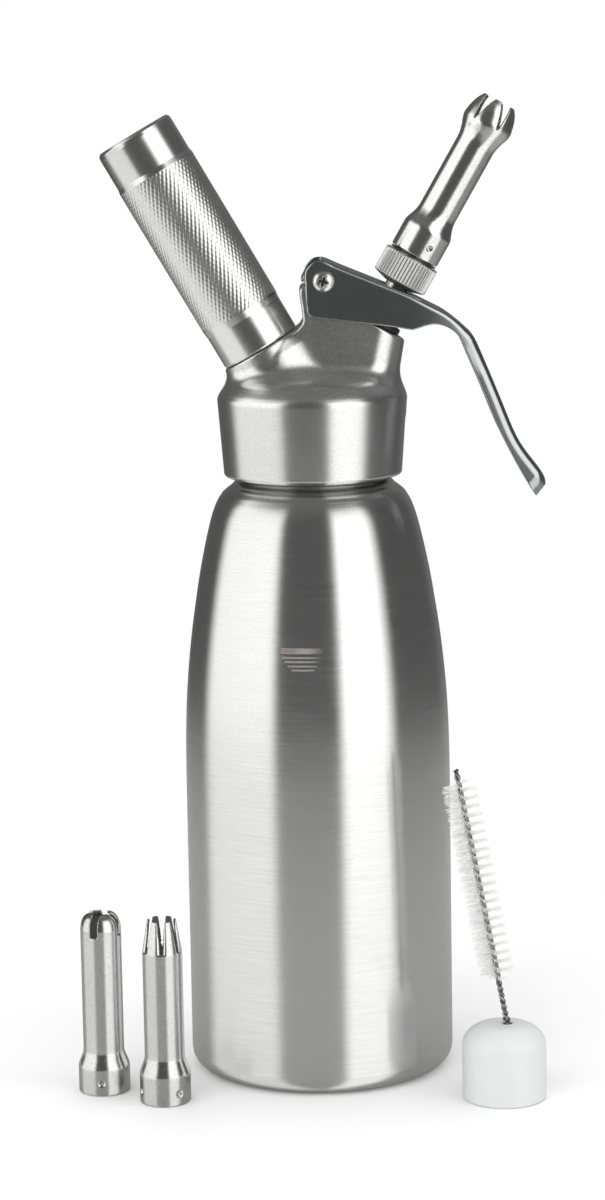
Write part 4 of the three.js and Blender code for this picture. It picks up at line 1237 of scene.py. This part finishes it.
tulip_line = [
    (8.6, 0), (8.9, 0.3), (8.95, 0.7), (8.95, 9.4),
    *flowing([
        (8.93, 9.8), (8.72, 10.6), (8.1, 12.2), (7.55, 13.7), (7.2, 15.1), (7.05, 16.2), (7.0, 17.3),
    ], 4),
    (7.0, 30),
    *flowing([
        (7.0, 43.4), (7.15, 45.2), (7.75, 47.6), (8.45, 49.6), (8.9, 51.0), (9.05, 52.0),
        (8.95, 53.4), (8.4, 56.2), (7.5, 58.8), (6.35, 60.9),
    ], 4),
]
star_line = [
    (8.6, 0), (9.05, 0.4), (9.1, 0.9), (9.1, 8.9),
    *flowing([
        (9.08, 9.3), (8.9, 10.2), (8.4, 11.5), (7.85, 12.8), (7.45, 13.9), (7.25, 14.9), (7.2, 16),
    ], 4),
    (7.2, 30),
    *flowing([(7.2, 59.2), (6.85, 61.3), (6.05, 63.2), (4.8, 64.4), (3.4, 64.8)], 5),
]
finger_line = [
    (8.5, 0), (8.9, 0.4), (8.95, 0.9), (8.95, 9.8),
    *flowing([
        (8.93, 10.2), (8.75, 11.1), (8.2, 12.6), (7.65, 14.0), (7.25, 15.2), (7.05, 16.2), (7.0, 17.4),
    ], 4),
    (7.0, 30),
    *flowing([(7.0, 52.6), (6.98, 53.6), (6.85, 54.8), (6.0, 59.9), (5.05, 65.5)], 4),
]
FINGER_CONE = [53.6, 54.8, 65.5], [6.98, 6.85, 5.05]
star_inner = walled(star_line[:-6]) + [(5.6, 62.0), (4.6, 63.1), (3.4, 63.8)]
V_SLOT = [(0, 51.7), (0.3, 51.9), (0.55, 52.7), (2.05, 60.9), (2.3, 70), (-3, 70), (-3, 51.7)]
PLAIN_SLOT = [(0, 57.0), (1.1, 57.05), (1.35, 57.3), (1.4, 57.6), (1.4, 70), (-3, 70), (-3, 57.0)]
TIP_LOW, TIP_HIGH = (-9.8, -9.8, -0.8), (9.8, 9.8, 66.4)
TULIP_PLACE = NOZZLE @ Matrix.Translation((0, 0, 27.55 * MM))

skinned_piece(
    "tulip_nozzle", tip_field(tulip_line, walled(tulip_line), plain_gap(V_SLOT), 6, -127, [(-69, 4.6)]),
    TIP_LOW, (9.8, 9.8, 62), 0.36, FITTED_TIP_STEEL, "tip_steel", "tip", "tulip_tip",
    place=TULIP_PLACE,
)
star_nozzle = skinned_piece(
    "star_nozzle", tip_field(star_line, star_inner, plain_gap(PLAIN_SLOT), 4, -108.6, [(-93, 4.7)]),
    TIP_LOW, TIP_HIGH, 0.36, STAR_STEEL, "tip_steel", "star_tip", "star_tip", place=STAR_PLACE,
)
finger_nozzle = skinned_piece(
    "finger_nozzle", tip_field(finger_line, walled(finger_line), finger_gap, 6, -90,
                               [(-54, 4.4), (-157, 4.4)]),
    TIP_LOW, TIP_HIGH, 0.36, FINGER_STEEL, "tip_steel", "finger_tip", "finger_tip",
    place=FINGER_PLACE,
)
# The bottle's reflection stays clean of the two tips beside it
star_nozzle.visible_glossy = False
finger_nozzle.visible_glossy = False

# %% Turn the threaded inserts
for name, body, node, radius, place in (
    ("tulip_thread", "tip", "tulip_tip_insert", 7.7, TULIP_PLACE),
    ("star_thread", "star_tip", "star_tip_insert", 7.8, STAR_PLACE),
    ("finger_thread", "finger_tip", "finger_tip_insert", 7.7, FINGER_PLACE),
):
    insert = turned_piece(
        name, [(6.1, 0.3, 0.4), (radius, 0.3, 0.3), (radius, 8.2, 0.3), (6.1, 8.2, 0.4)],
        TURNED_STEEL, "turned_steel", body, node, place=place, around=64,
    )
    insert.visible_glossy = body == "tip"

# %% [markdown]
# ## Cap and cleaning brush
# The brush stands in the top of a milky cap. Its wire is two strands twisted together, tight at
# the foot and slack where they hold the bristles. A node group bends both strands along one
# rule, and a second one sets the bristles into the same twist.

# %% Mould the cap
CAP_PLACE = standing(63.4, -48.8)
CAP_RADIUS, CAP_HEIGHT, CAP_STRAIGHT = 14.7, 26.6, 18.8
cap_curve = [(CAP_RADIUS * 0.35 + CAP_RADIUS * 0.65 * cos(a), CAP_STRAIGHT + 7.8 * sin(a))
             for a in (radians(9 * k) for k in range(11))]
cap_outline = outline(
    [(14.3, 0), (CAP_RADIUS, 0.4), (CAP_RADIUS, 10)] + cap_curve + [(0, CAP_HEIGHT), (0, 25.2)]
    + [(r - 1.1, z - 1.35) for r, z in cap_curve[::-1]] + [(13.3, 10), (13.3, 0)]
)
BRUSH = Matrix.Translation((64.5 * MM, -48.8 * MM, CAP_HEIGHT * MM)) @ Matrix.Rotation(
    radians(-10.7), 4, "Y"
)


def cap_field(x, y, z):
    body = cap_outline(radial(x, y), z)
    lean = CAP_PLACE.inverted() @ BRUSH
    bx, by, bz = along(x, y, z, lean)
    hole = most(radial(bx, by) - 1.77, np.abs(bz) - 14)
    return without(body, hole, 0.5)


skinned_piece(
    "brush_stand", cap_field, (-15.5, -15.5, -1), (15.5, 15.5, 27.6), 0.5, WHITE_PLASTIC,
    "white_plastic", "cap", "brush_cap", place=CAP_PLACE,
)

# %% Twist the wire
TWIST_START, SLACK_PITCH, TIGHT_PITCH = 14.5, 6.25, 4.4
WIRE_STEPS = 330


def wire_group():
    tree, _, given = new_group("twisted_wire", {
        "Foot": -14.0, "End": 92.2, "Twist Start": TWIST_START, "Slack Pitch": SLACK_PITCH,
        "Tight Pitch": TIGHT_PITCH, "Strand Radius": 0.58, "Twist Radius": 0.5, "Spread": 0.45,
    })
    line = tree.node("GeometryNodeCurvePrimitiveLine", None, {
        "Start": tree.combine(z=given["Foot"]), "End": tree.combine(z=given["End"]),
    })
    spots = tree.node("GeometryNodeResampleCurve", None, {"Curve": line, "Count": WIRE_STEPS})
    z = tree.split(tree.node("GeometryNodeInputPosition"))[2]
    radius = given["Twist Radius"] + (1 - z.smooth(0.3, 3.6)) * given["Spread"]
    z = z - given["Twist Start"]
    slack = tree.math("MAXIMUM", z, 0) / given["Slack Pitch"]
    tight = tree.math("MINIMUM", z, 0) / given["Tight Pitch"]
    ring = tree.node("GeometryNodeCurvePrimitiveCircle", None, {
        "Resolution": 8, "Radius": given["Strand Radius"],
    })
    both = tree.node("GeometryNodeJoinGeometry")
    for side in (0, pi):
        turn = (slack + tight) * (-2 * pi) + side
        move = tree.combine(tree.math("COSINE", turn) * radius, tree.math("SINE", turn) * radius)
        bent = tree.node("GeometryNodeSetPosition", None, {"Geometry": spots, "Offset": move})
        strand = tree.node("GeometryNodeCurveToMesh", None, {
            "Curve": bent, "Profile Curve": ring, "Fill Caps": True,
        })
        tree.feed(both.inputs[0], strand)
    return close_group(tree, both, BRUSH_WIRE)


wire = grow("twisted_wire", wire_group(), {}, None, BRUSH)
finish_piece(wire, BRUSH_WIRE, "brush_wire", "brush", "brush_wire_foot", "brush_wire_tip")


# %% Set the bristles
def bristle_group():
    tree, _, given = new_group("bristles", {
        "Count": 2600, "Low": 17.0, "High": 87.5, "Twist Start": TWIST_START,
        "Slack Pitch": SLACK_PITCH, "Length": 6.2, "Thickness": 0.07, "Seed": 4,
    })

    def drawn(low, high, salt):
        node = tree.node("FunctionNodeRandomValue", {"data_type": "FLOAT"})
        node.inputs[2].default_value = low
        node.inputs[3].default_value = high
        tree.feed(node.inputs["Seed"], given["Seed"] + salt)
        return Level(tree, node.outputs[1])

    index = Level(tree, tree.node("GeometryNodeInputIndex").outputs[0])
    step = (given["High"] - given["Low"]) / given["Count"]
    height = given["Low"] + index * step
    spot = tree.combine(drawn(-0.12, 0.12, 1), drawn(-0.12, 0.12, 2), height)
    points = tree.node("GeometryNodePoints", None, {"Count": given["Count"], "Position": spot})
    side = tree.math("MODULO", index, 2) * pi
    twist = (height - given["Twist Start"]) / given["Slack Pitch"] * (-2 * pi)
    turn = tree.combine(
        drawn(0, 2 * pi, 3), drawn(-0.1, 0.1, 4), twist + pi / 2 + side + drawn(-0.2, 0.2, 5),
    )
    bend = tree.node("GeometryNodeCurveQuadraticBezier", None, {
        "Resolution": 4, "Start": (0, 0, 0), "Middle": (0.6, 0.03, 0), "End": (1, 0, 0.05),
    })
    section = tree.node("GeometryNodeCurvePrimitiveCircle", None, {
        "Resolution": 3, "Radius": given["Thickness"] / given["Length"],
    })
    strand = tree.node("GeometryNodeCurveToMesh", None, {
        "Curve": bend, "Profile Curve": section, "Fill Caps": True,
    })
    size = given["Length"] * drawn(0.93, 1.03, 6)
    placed = tree.node("GeometryNodeInstanceOnPoints", None, {
        "Points": points, "Instance": strand, "Rotation": turn, "Scale": size,
    })
    return close_group(tree, placed, NYLON_BRISTLE)


bristles = grow("bristles", bristle_group(), {}, None, BRUSH)
finish_piece(
    bristles, NYLON_BRISTLE, "nylon_bristle", "brush",
    *[f"brush_bristles_{k}" for k in (1, 2, 3, 4)],
)

# %% [markdown]
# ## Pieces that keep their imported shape
# Sleeve, seals, gasket and pin sit inside the head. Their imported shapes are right, so they only
# get their finishes.

# %% Finish the inner pieces
for node, material in (
    ("pivot_sleeve", TURNED_STEEL), ("stem_o_ring", BLACK_RUBBER), ("valve_seal", BLACK_RUBBER),
    ("piercing_pin", TURNED_STEEL), ("port_gasket", BLACK_RUBBER),
):
    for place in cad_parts[node].material_slots:
        place.material = material
